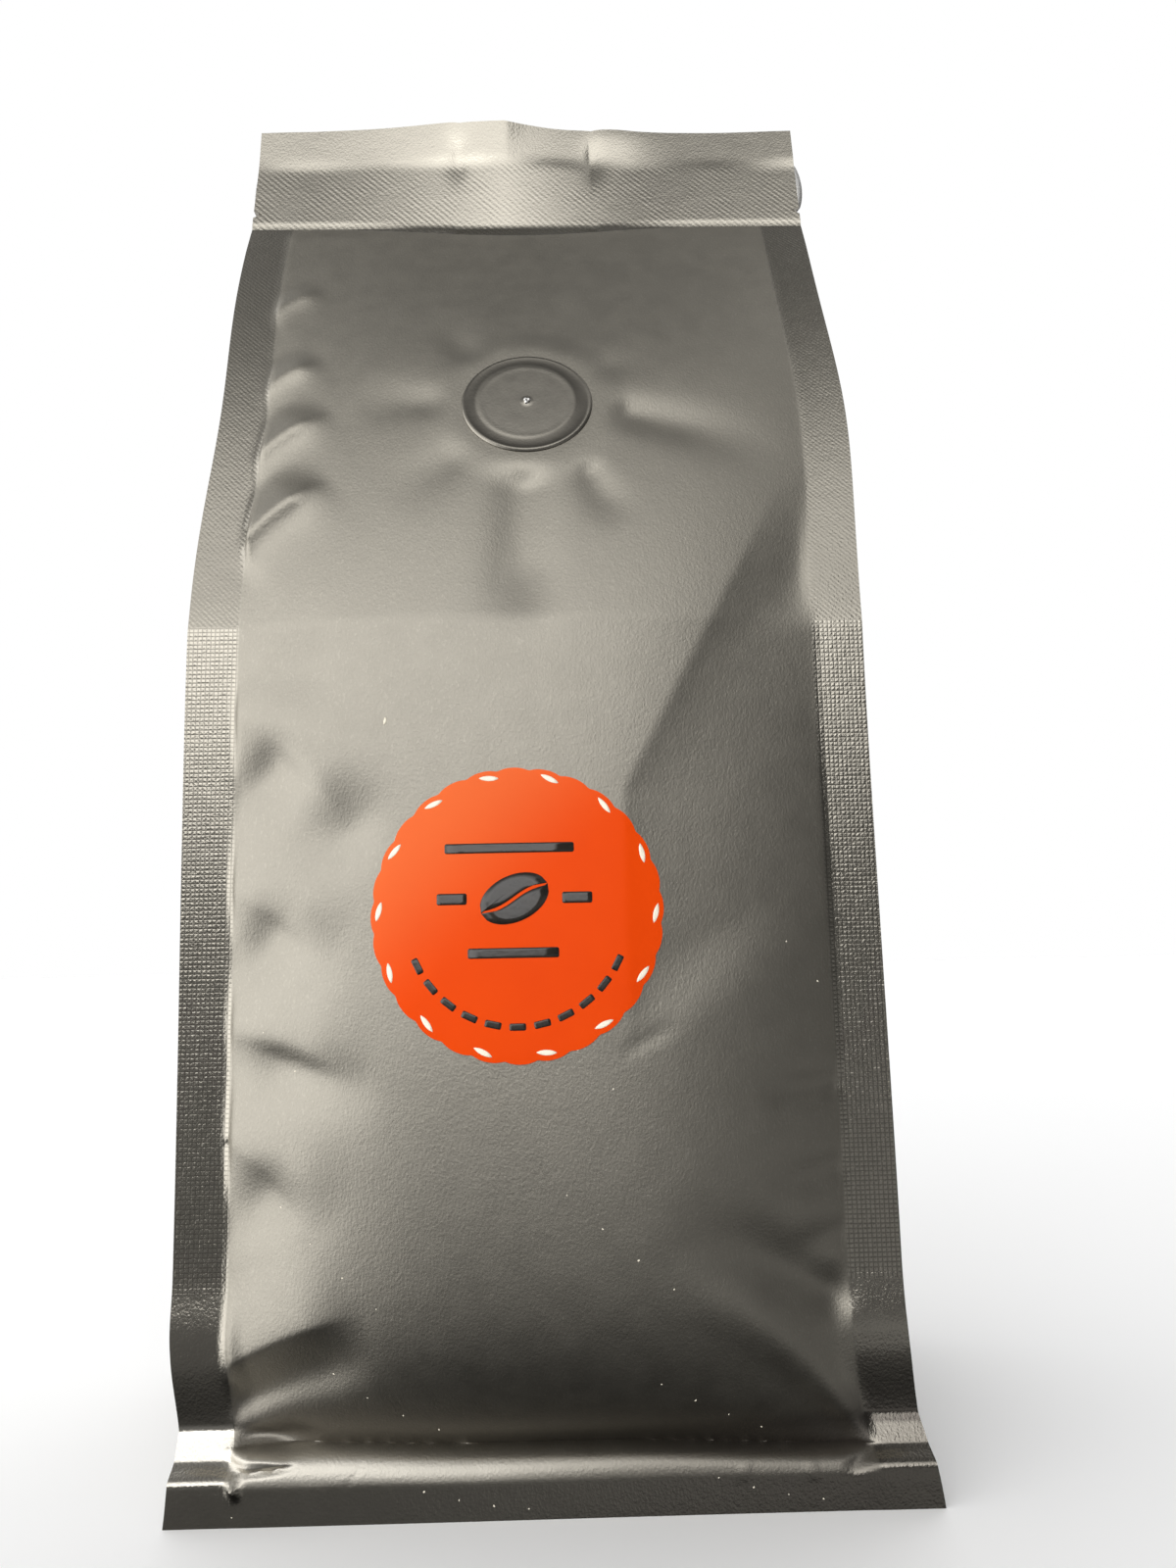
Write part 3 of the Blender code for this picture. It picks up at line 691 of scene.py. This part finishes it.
def foil_finish():
    """Matte black laminate: fine grain on the panels, an embossed net on the fins, ribs on the seal, with painted light
    and shade on the fins and a painted highlight and shade at the foot.
    """
    film = Finish("matte_black_foil", (0.27, 0.262, 0.243), 0.42, 1.0)
    sealed = film.attribute("sealed")
    off_middle = film.math("ABSOLUTE", film.math("SUBTRACT", film.x, SEAM_MIDDLE))
    seam = film.add(film.z, film.step(off_middle, 0.0, SEAM_HALF, SEAM_DROP, 0.0))
    header = film.step(seam, SEAL_Z - 0.0003, SEAL_Z + 0.0003)
    lip = film.step(film.z, LIP_Z - 0.0004, LIP_Z + 0.0004)
    netted = film.times(sealed, film.step(film.z, FIN_STEP_Z - 0.0004, FIN_STEP_Z), film.math("SUBTRACT", 1.0, header))
    ribbed = film.times(header, film.math("SUBTRACT", 1.0, lip))

    upper = film.step(film.z, FULL_Z + 0.0004, FULL_Z + 0.0008)
    columns = film.math("ABSOLUTE", film.wave(film.x, 0.00150))
    lines = film.math("ABSOLUTE", film.wave(film.z, 0.00150))
    cells = film.math("MINIMUM", columns, lines)
    hatch = film.wave(film.math("ADD", film.x, film.z), 0.00100)
    net = film.add(film.times(cells, film.math("SUBTRACT", 1.0, upper)), film.times(hatch, upper, 0.30))
    ribs = film.wave(film.math("ADD", film.x, film.z), 0.00105 * math.sqrt(2))
    grain = film.noise(2400.0, 2.0, 0.55)
    streaks = film.noise(1.0, 1.0, 0.5, (2600.0, 2600.0, 1300.0))
    flecks = film.times(film.step(streaks, 0.58, 0.74), film.math("SUBTRACT", 1.0, sealed))
    mottle = film.noise(230.0, 3.0, 0.55)
    height = film.add(film.times(net, netted, 0.000022),
                      film.times(ribs, ribbed, film.step(film.noise(140.0, 2.0), 0.35, 0.62, 0.30, 1.0), 0.000013),
                      film.times(grain, 0.000040), film.times(streaks, 0.000030),
                      film.times(mottle, 0.000040))
    film.relief(height)

    tone = film.times(film.math("SUBTRACT", mottle, 0.5), 0.12)
    # Painted light and shade: the sealed fins' colour is made lighter or darker by height, where they catch more or
    # less of the studio's light
    wear_and_painted_light = film.add(film.step(film.z, 0.145, 0.200, -0.10, 0.75), film.times(upper, -0.22),
                    film.times(film.step(film.z, 0.105, 0.050), 0.18), film.times(film.step(film.z, 0.0070, 0.0055), -0.25))
    squares = film.times(film.math("SUBTRACT", film.step(cells, 0.10, 0.70), 0.6), netted,
                         film.math("SUBTRACT", 1.0, upper), 0.55)
    speckle = film.add(film.times(film.math("SUBTRACT", grain, 0.5), 0.18), film.times(flecks, 0.13))
    share = film.add(film.times(sealed, wear_and_painted_light), squares, tone, speckle, 0.39)
    plain = film.mix(share, (0.20, 0.187, 0.160), (0.43, 0.403, 0.345))
    # Painted highlight: a pale band along the crease above the skirt, strongest towards the left, mixed into the colour
    crease = film.add(film.z, film.step(film.x, -0.010, -0.040, 0.0, -0.0008), film.step(film.x, 0.010, 0.045, 0.0, 0.0011))
    below = film.step(film.add(crease, film.times(sealed, -0.0030)), 0.0094, 0.0087)
    painted_highlight = film.times(below, film.step(film.z, 0.0052, 0.0068), film.step(film.x, 0.025, -0.045), 0.36)
    # Painted shade: the film darkened low down above the crease, and over the foot more towards the right
    shaded = film.times(film.step(film.z, 0.0185, 0.0140), film.math("SUBTRACT", 1.0, below), 0.45)
    painted_shade = film.add(film.times(film.step(film.z, 0.0145, 0.0110), film.step(film.x, -0.015, 0.050), 0.60), shaded)
    with_painted_highlight = film.mix(painted_highlight, plain, (0.84, 0.80, 0.72))
    film.put(film.shader.inputs["Base Color"], film.mix(painted_shade, with_painted_highlight, (0.11, 0.100, 0.088)))
    rough = film.add(0.47, film.times(sealed, -0.30), film.times(film.math("SUBTRACT", mottle, 0.5), 0.10))
    film.put(film.shader.inputs["Roughness"], rough)
    return film.material


def valve_finish():
    """The same laminate where the valve is welded under it, a touch smoother."""
    film = Finish("valve_foil", (0.26, 0.252, 0.234), 0.36, 1.0)
    film.relief(film.add(film.times(film.noise(2400.0, 2.0, 0.55), 0.000025),
                         film.times(film.noise(300.0, 2.0), 0.00003)))
    aside = film.math("SUBTRACT", film.x, VALVE_X - 0.0003)
    above = film.math("MULTIPLY", film.math("SUBTRACT", film.z, VALVE_Z + 0.0003), 1.05)
    radius = film.math("SQRT", film.add(film.times(aside, aside), film.times(above, above)))
    weld = film.times(film.step(radius, 0.0089, 0.0096), film.step(radius, 0.0119, 0.0114), 0.72)
    plain = film.mix(film.noise(420.0, 3.0), (0.22, 0.206, 0.178), (0.31, 0.29, 0.25))
    film.put(film.shader.inputs["Base Color"], film.mix(weld, plain, (0.085, 0.079, 0.068)))
    return film.material


def vinyl_finish():
    """Smooth orange vinyl with a faint orange-peel surface, and a painted reflection that makes it lighter towards its
    upper left.
    """
    vinyl = Finish("orange_label_vinyl", (0.74, 0.058, 0.002), 0.32, 0.0, Specular_IOR_Level=0.16,
                   Specular_Tint=(1.0, 0.62, 0.34, 1.0))
    vinyl.relief(film_texture_height(vinyl))
    plain = vinyl.mix(vinyl.noise(90.0, 2.0), (0.69, 0.050, 0.002), (0.76, 0.062, 0.002))
    # Painted reflection: the label's colour is lighter towards its upper left, where it mirrors the bright studio
    corner = vinyl.add(vinyl.z, vinyl.times(vinyl.x, -0.9))
    painted_reflection = vinyl.step(corner, LABEL_Z + 0.002, LABEL_Z + 0.034, 0.0, 0.50)
    vinyl.put(vinyl.shader.inputs["Base Color"], vinyl.mix(painted_reflection, plain, (0.80, 0.20, 0.062)))
    return vinyl.material


def film_texture_height(finish):
    """Height of the fine grain that shows through a thin label, in metres."""
    return finish.add(finish.times(finish.noise(1800.0, 1.0), 0.000008),
                      finish.times(finish.noise(260.0, 2.0), 0.000030))


def thread_finish():
    """Off-white print on the label's edge."""
    paint = Finish("off_white_print", (0.86, 0.80, 0.66), 0.30, 0.0)
    paint.put(paint.shader.inputs["Base Color"],
              paint.mix(paint.noise(900.0, 2.0), (0.80, 0.73, 0.58), (0.90, 0.85, 0.72)))
    return paint.material


def ink_finish():
    """Raised glossy black print."""
    ink = Finish("raised_black_print", (0.012, 0.010, 0.008), 0.16, 0.0)
    ink.put(ink.shader.inputs["Base Color"],
            ink.mix(ink.noise(500.0, 2.0), (0.010, 0.009, 0.008), (0.028, 0.022, 0.016)))
    ink.relief(ink.times(ink.noise(1200.0, 2.0), 0.000015))
    return ink.material


def bare_foil_finish():
    """The laminate's bright inner layer, where it shows at a cut edge."""
    foil = Finish("bare_foil", (0.78, 0.77, 0.75), 0.30, 0.9)
    foil.relief(foil.times(foil.noise(1500.0, 2.0), 0.00003))
    foil.put(foil.shader.inputs["Base Color"],
             foil.mix(foil.noise(700.0, 2.0), (0.66, 0.65, 0.62), (0.86, 0.85, 0.83)))
    return foil.material


# ---------------------------------------------------------------- pieces

def make_film(material):
    """The film bag itself."""
    points, faces, sealed = film_shell()
    film = add_mesh("bag_film", points, faces, material, 50)
    add_value(film, "sealed", sealed)
    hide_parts("pouch")
    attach(film, "root")
    return film


def turned_disc(profile, spokes):
    """Points and faces of a profile of (radius, height) turned about its axis, closed at both ends.

    The profile starts and ends on the axis; the point at turn a is
    (radius cos a, radius sin a, height).
    """
    radius, height = np.array(profile[1:-1]).T
    angle = np.arange(spokes) * 2 * math.pi / spokes
    rings = np.stack([np.outer(radius, np.cos(angle)), np.outer(radius, np.sin(angle)),
                      np.repeat(height[:, None], spokes, axis=1)], axis=-1)
    points = np.concatenate([rings.reshape(-1, 3), [(0, 0, profile[0][1]), (0, 0, profile[-1][1])]])
    grid = np.arange(rings.shape[0] * spokes).reshape(-1, spokes)
    following = np.roll(grid, -1, axis=1)
    quads = np.stack([grid[:-1], grid[1:], following[1:], following[:-1]], axis=-1).reshape(-1, 4)
    start, end = len(points) - 2, len(points) - 1
    caps = [[start, a, b] for a, b in zip(grid[0].tolist(), following[0].tolist())]
    caps += [[end, b, a] for a, b in zip(grid[-1].tolist(), following[-1].tolist())]
    return points, quads.tolist() + caps


VALVE_PROFILE = (      # radius and height over the ground, in millimetres, from the middle outwards
    (0, -0.02), (0.16, 0.02), (0.26, 0.50), (0.36, 0.86), (0.46, 0.72), (0.70, 0.52), (1.5, 0.50), (4.0, 0.50),
    (7.6, 0.51), (8.1, 0.49), (8.5, 0.52), (8.9, 0.50), (9.3, 0.42), (9.8, 0.36), (10.4, 0.34),
    (11.0, 0.36), (11.3, 0.42), (11.55, 0.47), (11.8, 0.38), (12.0, 0.14), (12.1, 0.02), (12.0, -0.10), (0, -0.10),
)


def on_valve(points):
    """Points given as (across, up, out) from the valve's middle, set on its tilted ground."""
    slope = float(valve_ground(0, VALVE_Z + 0.01) - valve_ground(0, VALVE_Z)) / 0.01
    normal = np.array([0, -1, slope]) / math.hypot(1, slope)
    upward = np.array([0, slope, 1]) / math.hypot(1, slope)
    ground = np.array([VALVE_X, float(valve_ground(VALVE_X, VALVE_Z)), VALVE_Z])
    return ground + np.outer(points[:, 0], [1, 0, 0]) + np.outer(points[:, 1], upward) + np.outer(points[:, 2], normal)


def make_valve(material):
    """The one-way valve: a turned disc on the tilted ground that the film keeps flat for it."""
    points, faces = turned_disc([(r * MM, h * MM) for r, h in VALVE_PROFILE], 128)
    valve = add_mesh("one_way_valve", on_valve(points), faces, material)
    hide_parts("valve")
    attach(valve, "root")
    return valve


def make_burr(material):
    """The bright ragged rim of the valve's pinhole: a small ring standing on the disc."""
    profile = [(0, 0.40), (0.22, 0.46), (0.30, 0.92), (0.44, 0.98), (0.60, 0.60), (0.62, 0.40), (0, 0.38)]
    points, faces = turned_disc([(r * MM, h * MM) for r, h in profile], 14)
    turn = np.arctan2(points[:, 1], points[:, 0])
    points[:, :2] *= (1 + 0.30 * np.sin(3 * turn + 0.6) * (points[:, 2:] > 0.5 * MM).ravel())[:, None]
    burr = add_mesh("valve_pinhole_rim", on_valve(points), faces, material)
    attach(burr, "root")
    return burr


def on_label(x, z, lift):
    """Points at the label's local x and z, lifted off the film by a distance."""
    px, pz = LABEL_X + x, LABEL_Z + z
    return np.stack([px, front_depth(px, pz) - lift, pz], axis=-1)


def plate(x, z, low, high):
    """A closed thin plate over a grid: x and z are (rings, spokes) round a middle, low and high its lifts.

    The front face lies at the given high lifts, which the callers keep lower at the rim, so that the edge has a small
    slope.
    """
    rings, spokes = x.shape
    middle_x, middle_z = x[:1].mean(axis=1), z[:1].mean(axis=1)
    front = on_label(x, z, high)
    back = on_label(x, z, low)
    points = np.concatenate([front.reshape(-1, 3), back.reshape(-1, 3),
                             on_label(middle_x, middle_z, high[:1, :1].ravel()),
                             on_label(middle_x, middle_z, low[:1, :1].ravel())])
    grid = np.arange(rings * spokes).reshape(rings, spokes)
    following = np.roll(grid, -1, axis=1)
    outer = np.stack([grid[:-1], grid[1:], following[1:], following[:-1]], axis=-1).reshape(-1, 4)
    inner = outer[:, ::-1] + rings * spokes
    rim = np.stack([grid[-1], grid[-1] + rings * spokes, following[-1] + rings * spokes, following[-1]], axis=-1)
    start, end = 2 * rings * spokes, 2 * rings * spokes + 1
    caps = [[start, a, b] for a, b in zip(grid[0].tolist(), following[0].tolist())]
    caps += [[end, b + rings * spokes, a + rings * spokes] for a, b in zip(grid[0].tolist(), following[0].tolist())]
    return points, np.concatenate([outer, inner, rim]).tolist() + caps


def joined(shapes):
    """Several (points, faces) as one."""
    points, faces, start = [], [], 0
    for some_points, some_faces in shapes:
        points.append(some_points)
        faces += [[v + start for v in face] for face in some_faces]
        start += len(some_points)
    return np.concatenate(points), faces


def scallop_radius(angle):
    """Radius of the label's edge: 28 equal arcs that meet in small notches."""
    arc = np.abs(np.sin(angle * SCALLOPS / 2 + STITCH_TURN))
    return LABEL_RADIUS - SCALLOP_DEPTH * (1 - arc) ** 1.3


STITCHES = 14
STITCH_ANGLE = -1.3       # degrees, where the first stitch lies
STITCH_RADIUS = 0.0222
STITCH_HALF = (0.00160, 0.00043)
STITCH_TILT = -13.0       # degrees off the tangent
STITCH_TURN = math.pi / 2 - math.radians(STITCH_ANGLE) * SCALLOPS / 2


def make_label(material):
    """The round label: a thin disc with a scalloped edge that follows the film."""
    angle = np.arange(SCALLOPS * 14) * 2 * math.pi / (SCALLOPS * 14)
    share = np.concatenate([np.linspace(0.03, 0.97, 30), [1.0]])
    radius = share[:, None] * scallop_radius(angle)[None, :]
    lift = LABEL_LIFT + LABEL_THICKNESS * np.where(share < 0.999, 1, 0.7)[:, None] + 0 * radius
    points, faces = plate(radius * np.cos(angle), -radius * np.sin(angle), LABEL_LIFT + 0 * radius, lift)
    label = add_mesh("round_label", points, faces, material, 40)
    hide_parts("label")
    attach(label, "root")
    return label


def evenly(x, z, spacing):
    """The same closed outline with its points spread evenly along it."""
    x, z = np.append(x, x[0]), np.append(z, z[0])
    run = np.concatenate([[0], np.cumsum(np.hypot(np.diff(x), np.diff(z)))])
    at = np.linspace(0, run[-1], max(int(run[-1] / spacing), 12), endpoint=False)
    return np.interp(at, run, x), np.interp(at, run, z)


def outline_plate(x, z, lift, thickness, rings=3):
    """A thin plate with the outline (x, z), turned clockwise as seen from the front."""
    x, z = evenly(x, z, 0.00022)
    share = np.linspace(1 / rings, 1, rings)[:, None]
    middle_x, middle_z = x.mean(), z.mean()
    grid_x = middle_x + share * (x - middle_x)[None, :]
    grid_z = middle_z + share * (z - middle_z)[None, :]
    top = lift + thickness * np.where(share < 0.999, 1, 0.6) + 0 * grid_x
    return plate(grid_x, grid_z, lift - 0.00003 + 0 * grid_x, top)


def turned(x, z, degrees, middle_x, middle_z):
    """Turn an outline by an angle and move it to its middle."""
    c, s = math.cos(math.radians(degrees)), math.sin(math.radians(degrees))
    return middle_x + x * c - z * s, middle_z + x * s + z * c


def lens_outline(half_length, half_width, points=20):
    """A pointed lens: the width falls as 1 minus the square of the share of its length."""
    t = np.linspace(0, 2 * math.pi, points, endpoint=False)
    along = np.cos(t)
    return half_length * along, -half_width * np.sign(np.sin(t)) * (1 - along ** 2) ** 0.8


def bar_outline(half_length, half_width, corner, points=6):
    """A rectangle with rounded corners, clockwise."""
    quarter = np.linspace(0, math.pi / 2, points)
    x = corner * np.cos(quarter)
    z = corner * np.sin(quarter)
    cx, cz = half_length - corner, half_width - corner
    xs = np.concatenate([cx + x[::-1], cx + x, -cx - x[::-1], -cx - x])
    zs = np.concatenate([cz + z[::-1], -cz - z, -cz - z[::-1], cz + z])
    return xs, zs


def bean_half_outline(half_length, half_width, side, points=28):
    """Half a coffee bean: an ellipse cut by an S-shaped cleft, on one side of it."""
    t = np.linspace(-1, 1, points)
    cleft = 0.10 * half_width * np.sin(math.pi * t)
    gap = 0.07 * half_width
    rim = half_width * np.sqrt(np.maximum(1 - t ** 2, 0))
    x = half_length * np.concatenate([t, t[::-1]])
    inner = np.minimum(cleft * side + gap, rim)
    z = np.concatenate([rim, inner[::-1]]) * side
    return (x, z) if side > 0 else (x[::-1], z[::-1])


def make_stitches(material):
    """Pointed dashes printed round the label, like a running stitch."""
    shapes = []
    for k in range(STITCHES):
        turn = STITCH_ANGLE + k * 360 / STITCHES
        x, z = lens_outline(*STITCH_HALF)
        angle = math.radians(turn)
        x, z = turned(x, z, turn + 90 + STITCH_TILT, STITCH_RADIUS * math.cos(angle), STITCH_RADIUS * math.sin(angle))
        shapes.append(outline_plate(x, z, LABEL_LIFT + LABEL_THICKNESS, 0.00002, 2))
    stitches = add_mesh("label_stitches", *joined(shapes), material)
    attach(stitches, "root")
    return stitches


def make_ink(material):
    """Plain raised print on the label: bars, a bean in two halves and an arc of short bars."""
    shapes = []

    def print_shape(x, z, degrees, middle_x, middle_z):
        x, z = turned(x, z, degrees, middle_x, middle_z)
        shapes.append(outline_plate(x, z, LABEL_LIFT + LABEL_THICKNESS, 0.00006, 3))

    print_shape(*bar_outline(0.0104, 0.0008, 0.0003), 0, -0.0012, 0.0103)
    for side in (-1, 1):
        print_shape(*bean_half_outline(0.0058, 0.0037, side), 24, -0.0004, 0.0022)
        print_shape(*bar_outline(0.0024, 0.0009, 0.0003), 0, -0.0004 + side * 0.0100, 0.0022)
    print_shape(*bar_outline(0.0072, 0.0008, 0.0003), 0, -0.0006, -0.0064)
    for k in range(11):
        angle = math.radians(-90 + (k - 5) * 12.5)
        x, z = bar_outline(0.0013, 0.00055, 0.0002)
        print_shape(x, z, math.degrees(angle) + 90, 0.0178 * math.cos(angle), 0.0178 * math.sin(angle))
    ink = add_mesh("label_print", *joined(shapes), material)
    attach(ink, "root")
    return ink


def make_slivers(material):
    """Bright strips where the inner layer shows past the header's cut ends: thin slabs, widest at their middle."""
    shapes = []
    for side, low, high, width in ((-1, 0.2486, 0.2598, 0.0005), (1, 0.2474, 0.2614, 0.0015)):
        z = np.linspace(low, high, 15)
        edge = sway(z) + side * half_span(z)
        outer = edge + side * width * np.sin(math.pi * (z - low) / (high - low)) ** 0.6
        inner = edge - side * 0.0009
        rows = [np.stack([x, header_middle(x, z) + depth, z], axis=-1)
                for x, depth in ((inner, -0.00012), (outer, -0.00006), (outer, 0.00006), (inner, 0.00012))]
        points = np.stack(rows, axis=1).reshape(-1, 3)
        grid = np.arange(len(points)).reshape(-1, 4)
        following = np.roll(grid, -1, axis=1)
        quads = np.stack([grid[:-1], following[:-1], following[1:], grid[1:]], axis=-1).reshape(-1, 4)
        faces = quads.tolist() + [grid[0, ::-1].tolist(), grid[-1].tolist()]
        shapes.append((points, faces if side > 0 else [face[::-1] for face in faces]))
    slivers = add_mesh("bare_foil_slivers", *joined(shapes), material)
    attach(slivers, "root")
    return slivers


def speck(x, z, half_length, half_width, degrees, height):
    """A crumb of dust on the front film: a low eight-sided cone whose base lies just inside the film."""
    angle = np.arange(8) * math.pi / 4
    rim_x, rim_z = turned(half_length * np.cos(angle), half_width * np.sin(angle), degrees, x, z)
    rim = np.stack([rim_x, front_depth(rim_x, rim_z) + 0.00003, rim_z], axis=-1)
    top = [[x, float(front_depth(x, z)) - height, z]]
    base = [[x, float(front_depth(x, z)) + 0.00012, z]]
    faces = [[k, (k + 1) % 8, 8] for k in range(8)] + [[(k + 1) % 8, k, 9] for k in range(8)]
    return np.concatenate([rim, top, base]), faces


def make_specks(material):
    """Dust: small crumbs scattered by the golden ratio, closer together low down, and one torn flake."""
    shapes = [speck(-0.0250, 0.1243, 0.0009, 0.00035, 78, 0.00016)]
    for k in range(34):
        x = -0.048 + 0.096 * ((k * 0.618034) % 1)
        z = 0.0015 + 0.105 * ((k * 0.754878) % 1) ** 1.8
        size = 0.00011 + 0.00010 * ((k * 0.569840) % 1)
        shapes.append(speck(x, z, size * 1.5, size, 40.0 * k, 0.00006))
    specks = add_mesh("dust_specks", *joined(shapes), material)
    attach(specks, "root")
    return specks


# ---------------------------------------------------------------- floor, light and camera

FLOOR_HALF = 4.0
CAMERA_PLACE = (0.0052, -0.2295, 0.0872)
CAMERA_PITCH, CAMERA_YAW, CAMERA_ROLL = 8.0, 1.0, 1.1     # degrees
CAMERA_LENS = 26.0

# Brightness of the studio by height, as (degrees above the horizon, brightness):
# ahead of the bag, to its left, to its right as the camera sees it, and behind it
GLOW_AHEAD = ((-90, 0.03), (-60, 0.03), (-43, 0.09), (-30, 0.24), (3, 0.30), (7, 1.6), (11, 4.0), (26, 4.0),
              (31, 2.7), (44, 2.4), (52, 1.6), (60, 0.85), (67, 0.40), (78, 0.22), (90, 0.20))
GLOW_LEFT = ((-90, 0.03), (-52, 0.05), (-38, 0.22), (-29, 0.9), (-20, 3.4), (20, 3.8), (31, 3.3), (40, 1.6), (50, 0.6),
             (70, 0.40), (80, 0.20), (90, 0.18))
GLOW_RIGHT = ((-90, 0.02), (-50, 0.04), (-32, 0.15), (-20, 0.52), (-10, 0.44), (-3, 0.22), (8, 0.15), (38, 0.16),
              (50, 0.6), (60, 0.9), (70, 0.42), (80, 0.20), (90, 0.18))
GLOW_BEHIND = ((-90, 0.04), (-40, 0.20), (-15, 0.8), (5, 0.9), (15, 2.2), (45, 2.2), (60, 1.0), (75, 0.35), (90, 0.20))
GLOW_TOP = 4.0
# The window ahead ends further right the higher it reaches, as (degrees up, degrees right)
WINDOW_SLANT = ((-90, -16), (-24, -14), (5, -4), (26, 6), (45, 18), (55, 30), (63, 50), (90, 60))
SLANT_TOP = 60
SLANT_SHIFT = 20           # added to those numbers in the ramp, which can't hold less than 0


def glow_ramp(tree, stops, low, high, top):
    """A grey ramp through (position, brightness) stops, the positions between low and high."""
    node = tree.nodes.new("ShaderNodeValToRGB")
    elements = node.color_ramp.elements
    for place, (position, value) in enumerate(stops):
        share = (position - low) / (high - low)
        if place == 0:
            element = elements[0]
        elif place == len(stops) - 1:
            element = elements[len(elements) - 1]
        else:
            element = elements.new(share)
        element.position = share
        element.color = (value / top, value / top, value / top, 1)
    return node


def make_studio():
    """A plain soft studio: light by height and direction, and white straight to the camera."""
    world = bpy.data.worlds.new("soft_studio")
    world.use_nodes = True
    bpy.context.scene.world = world
    tree = world.node_tree
    tree.nodes.clear()

    def calc(operation, first, second=0.0):
        node = tree.nodes.new("ShaderNodeMath")
        node.operation = operation
        for socket, value in zip(node.inputs, (first, second)):
            if isinstance(value, bpy.types.NodeSocket):
                tree.links.new(value, socket)
            else:
                socket.default_value = value
        return node.outputs[0]

    def step(value, start, end):
        node = tree.nodes.new("ShaderNodeMapRange")
        node.interpolation_type = "SMOOTHSTEP"
        tree.links.new(value, node.inputs["Value"])
        node.inputs["From Min"].default_value = start
        node.inputs["From Max"].default_value = end
        return node.outputs["Result"]

    def by_height(stops, top):
        node = glow_ramp(tree, stops, -90, 90, top)
        tree.links.new(height, node.inputs[0])
        return calc("MULTIPLY", node.outputs[0], top)

    axes = tree.nodes.new("ShaderNodeSeparateXYZ")
    tree.links.new(tree.nodes.new("ShaderNodeTexCoord").outputs["Generated"], axes.inputs[0])
    height = calc("ADD", calc("DIVIDE", calc("ARCSINE", axes.outputs["Z"]), math.pi), 0.5)
    turn = calc("ARCTAN2", axes.outputs["X"], calc("MULTIPLY", axes.outputs["Y"], -1.0))
    turn = calc("MULTIPLY", turn, 180 / math.pi)
    lifted = tuple((degrees_up, right + SLANT_SHIFT) for degrees_up, right in WINDOW_SLANT)
    slanted = calc("SUBTRACT", calc("ADD", turn, SLANT_SHIFT), by_height(lifted, SLANT_TOP + SLANT_SHIFT))
    to_right = step(slanted, 6, 24)
    to_left = step(turn, -28, -56)
    to_back = step(calc("ABSOLUTE", turn), 95, 150)
    glow = by_height(GLOW_AHEAD, GLOW_TOP)
    for share, stops in ((to_right, GLOW_RIGHT), (to_left, GLOW_LEFT), (to_back, GLOW_BEHIND)):
        glow = calc("ADD", calc("MULTIPLY", glow, calc("SUBTRACT", 1.0, share)),
                    calc("MULTIPLY", by_height(stops, GLOW_TOP), share))

    light = tree.nodes.new("ShaderNodeBackground")
    tree.links.new(glow, light.inputs["Strength"])
    white = tree.nodes.new("ShaderNodeBackground")
    white.inputs["Color"].default_value = (1, 1, 1, 1)
    rays = tree.nodes.new("ShaderNodeLightPath")
    chooser = tree.nodes.new("ShaderNodeMixShader")
    output = tree.nodes.new("ShaderNodeOutputWorld")
    tree.links.new(rays.outputs["Is Camera Ray"], chooser.inputs[0])
    tree.links.new(light.outputs[0], chooser.inputs[1])
    tree.links.new(white.outputs[0], chooser.inputs[2])
    tree.links.new(chooser.outputs[0], output.inputs["Surface"])


def make_floor():
    """A plain pale floor that the film doesn't mirror, since the studio's light stands for it."""
    s = FLOOR_HALF
    paper = Finish("pale_floor", (0.92, 0.92, 0.92), 0.9)
    points = np.array([(-s, -s, 0), (s, -s, 0), (s, s, 0), (-s, s, 0)], dtype=float)
    floor = add_mesh("floor", points, [[0, 1, 2, 3]], paper.material)
    floor.visible_glossy = False


def make_camera():
    """The camera: forward from yaw and pitch, then rolled about it."""
    w, p, r = (math.radians(a) for a in (CAMERA_YAW, CAMERA_PITCH, CAMERA_ROLL))
    forward = Vector((math.sin(w) * math.cos(p), math.cos(w) * math.cos(p), math.sin(p)))
    right = forward.cross(Vector((0, 0, 1))).normalized()
    upward = right.cross(forward)
    right, upward = right * math.cos(r) - upward * math.sin(r), upward * math.cos(r) + right * math.sin(r)
    data = bpy.data.cameras.new("camera")
    data.lens = CAMERA_LENS
    data.sensor_width = 36
    data.clip_start = 0.01
    camera = bpy.data.objects.new("camera", data)
    turn = Matrix((right, upward, -forward)).transposed().to_4x4()
    camera.matrix_world = Matrix.Translation(CAMERA_PLACE) @ turn
    bpy.context.scene.collection.objects.link(camera)
    bpy.context.scene.camera = camera


def main():
    bpy.context.scene.view_settings.view_transform = "Standard"
    make_studio()
    make_floor()
    make_camera()
    make_film(foil_finish())
    make_valve(valve_finish())
    make_label(vinyl_finish())
    make_stitches(thread_finish())
    make_ink(ink_finish())
    foil = bare_foil_finish()
    make_slivers(foil)
    make_burr(foil)
    make_specks(thread_finish())


main()
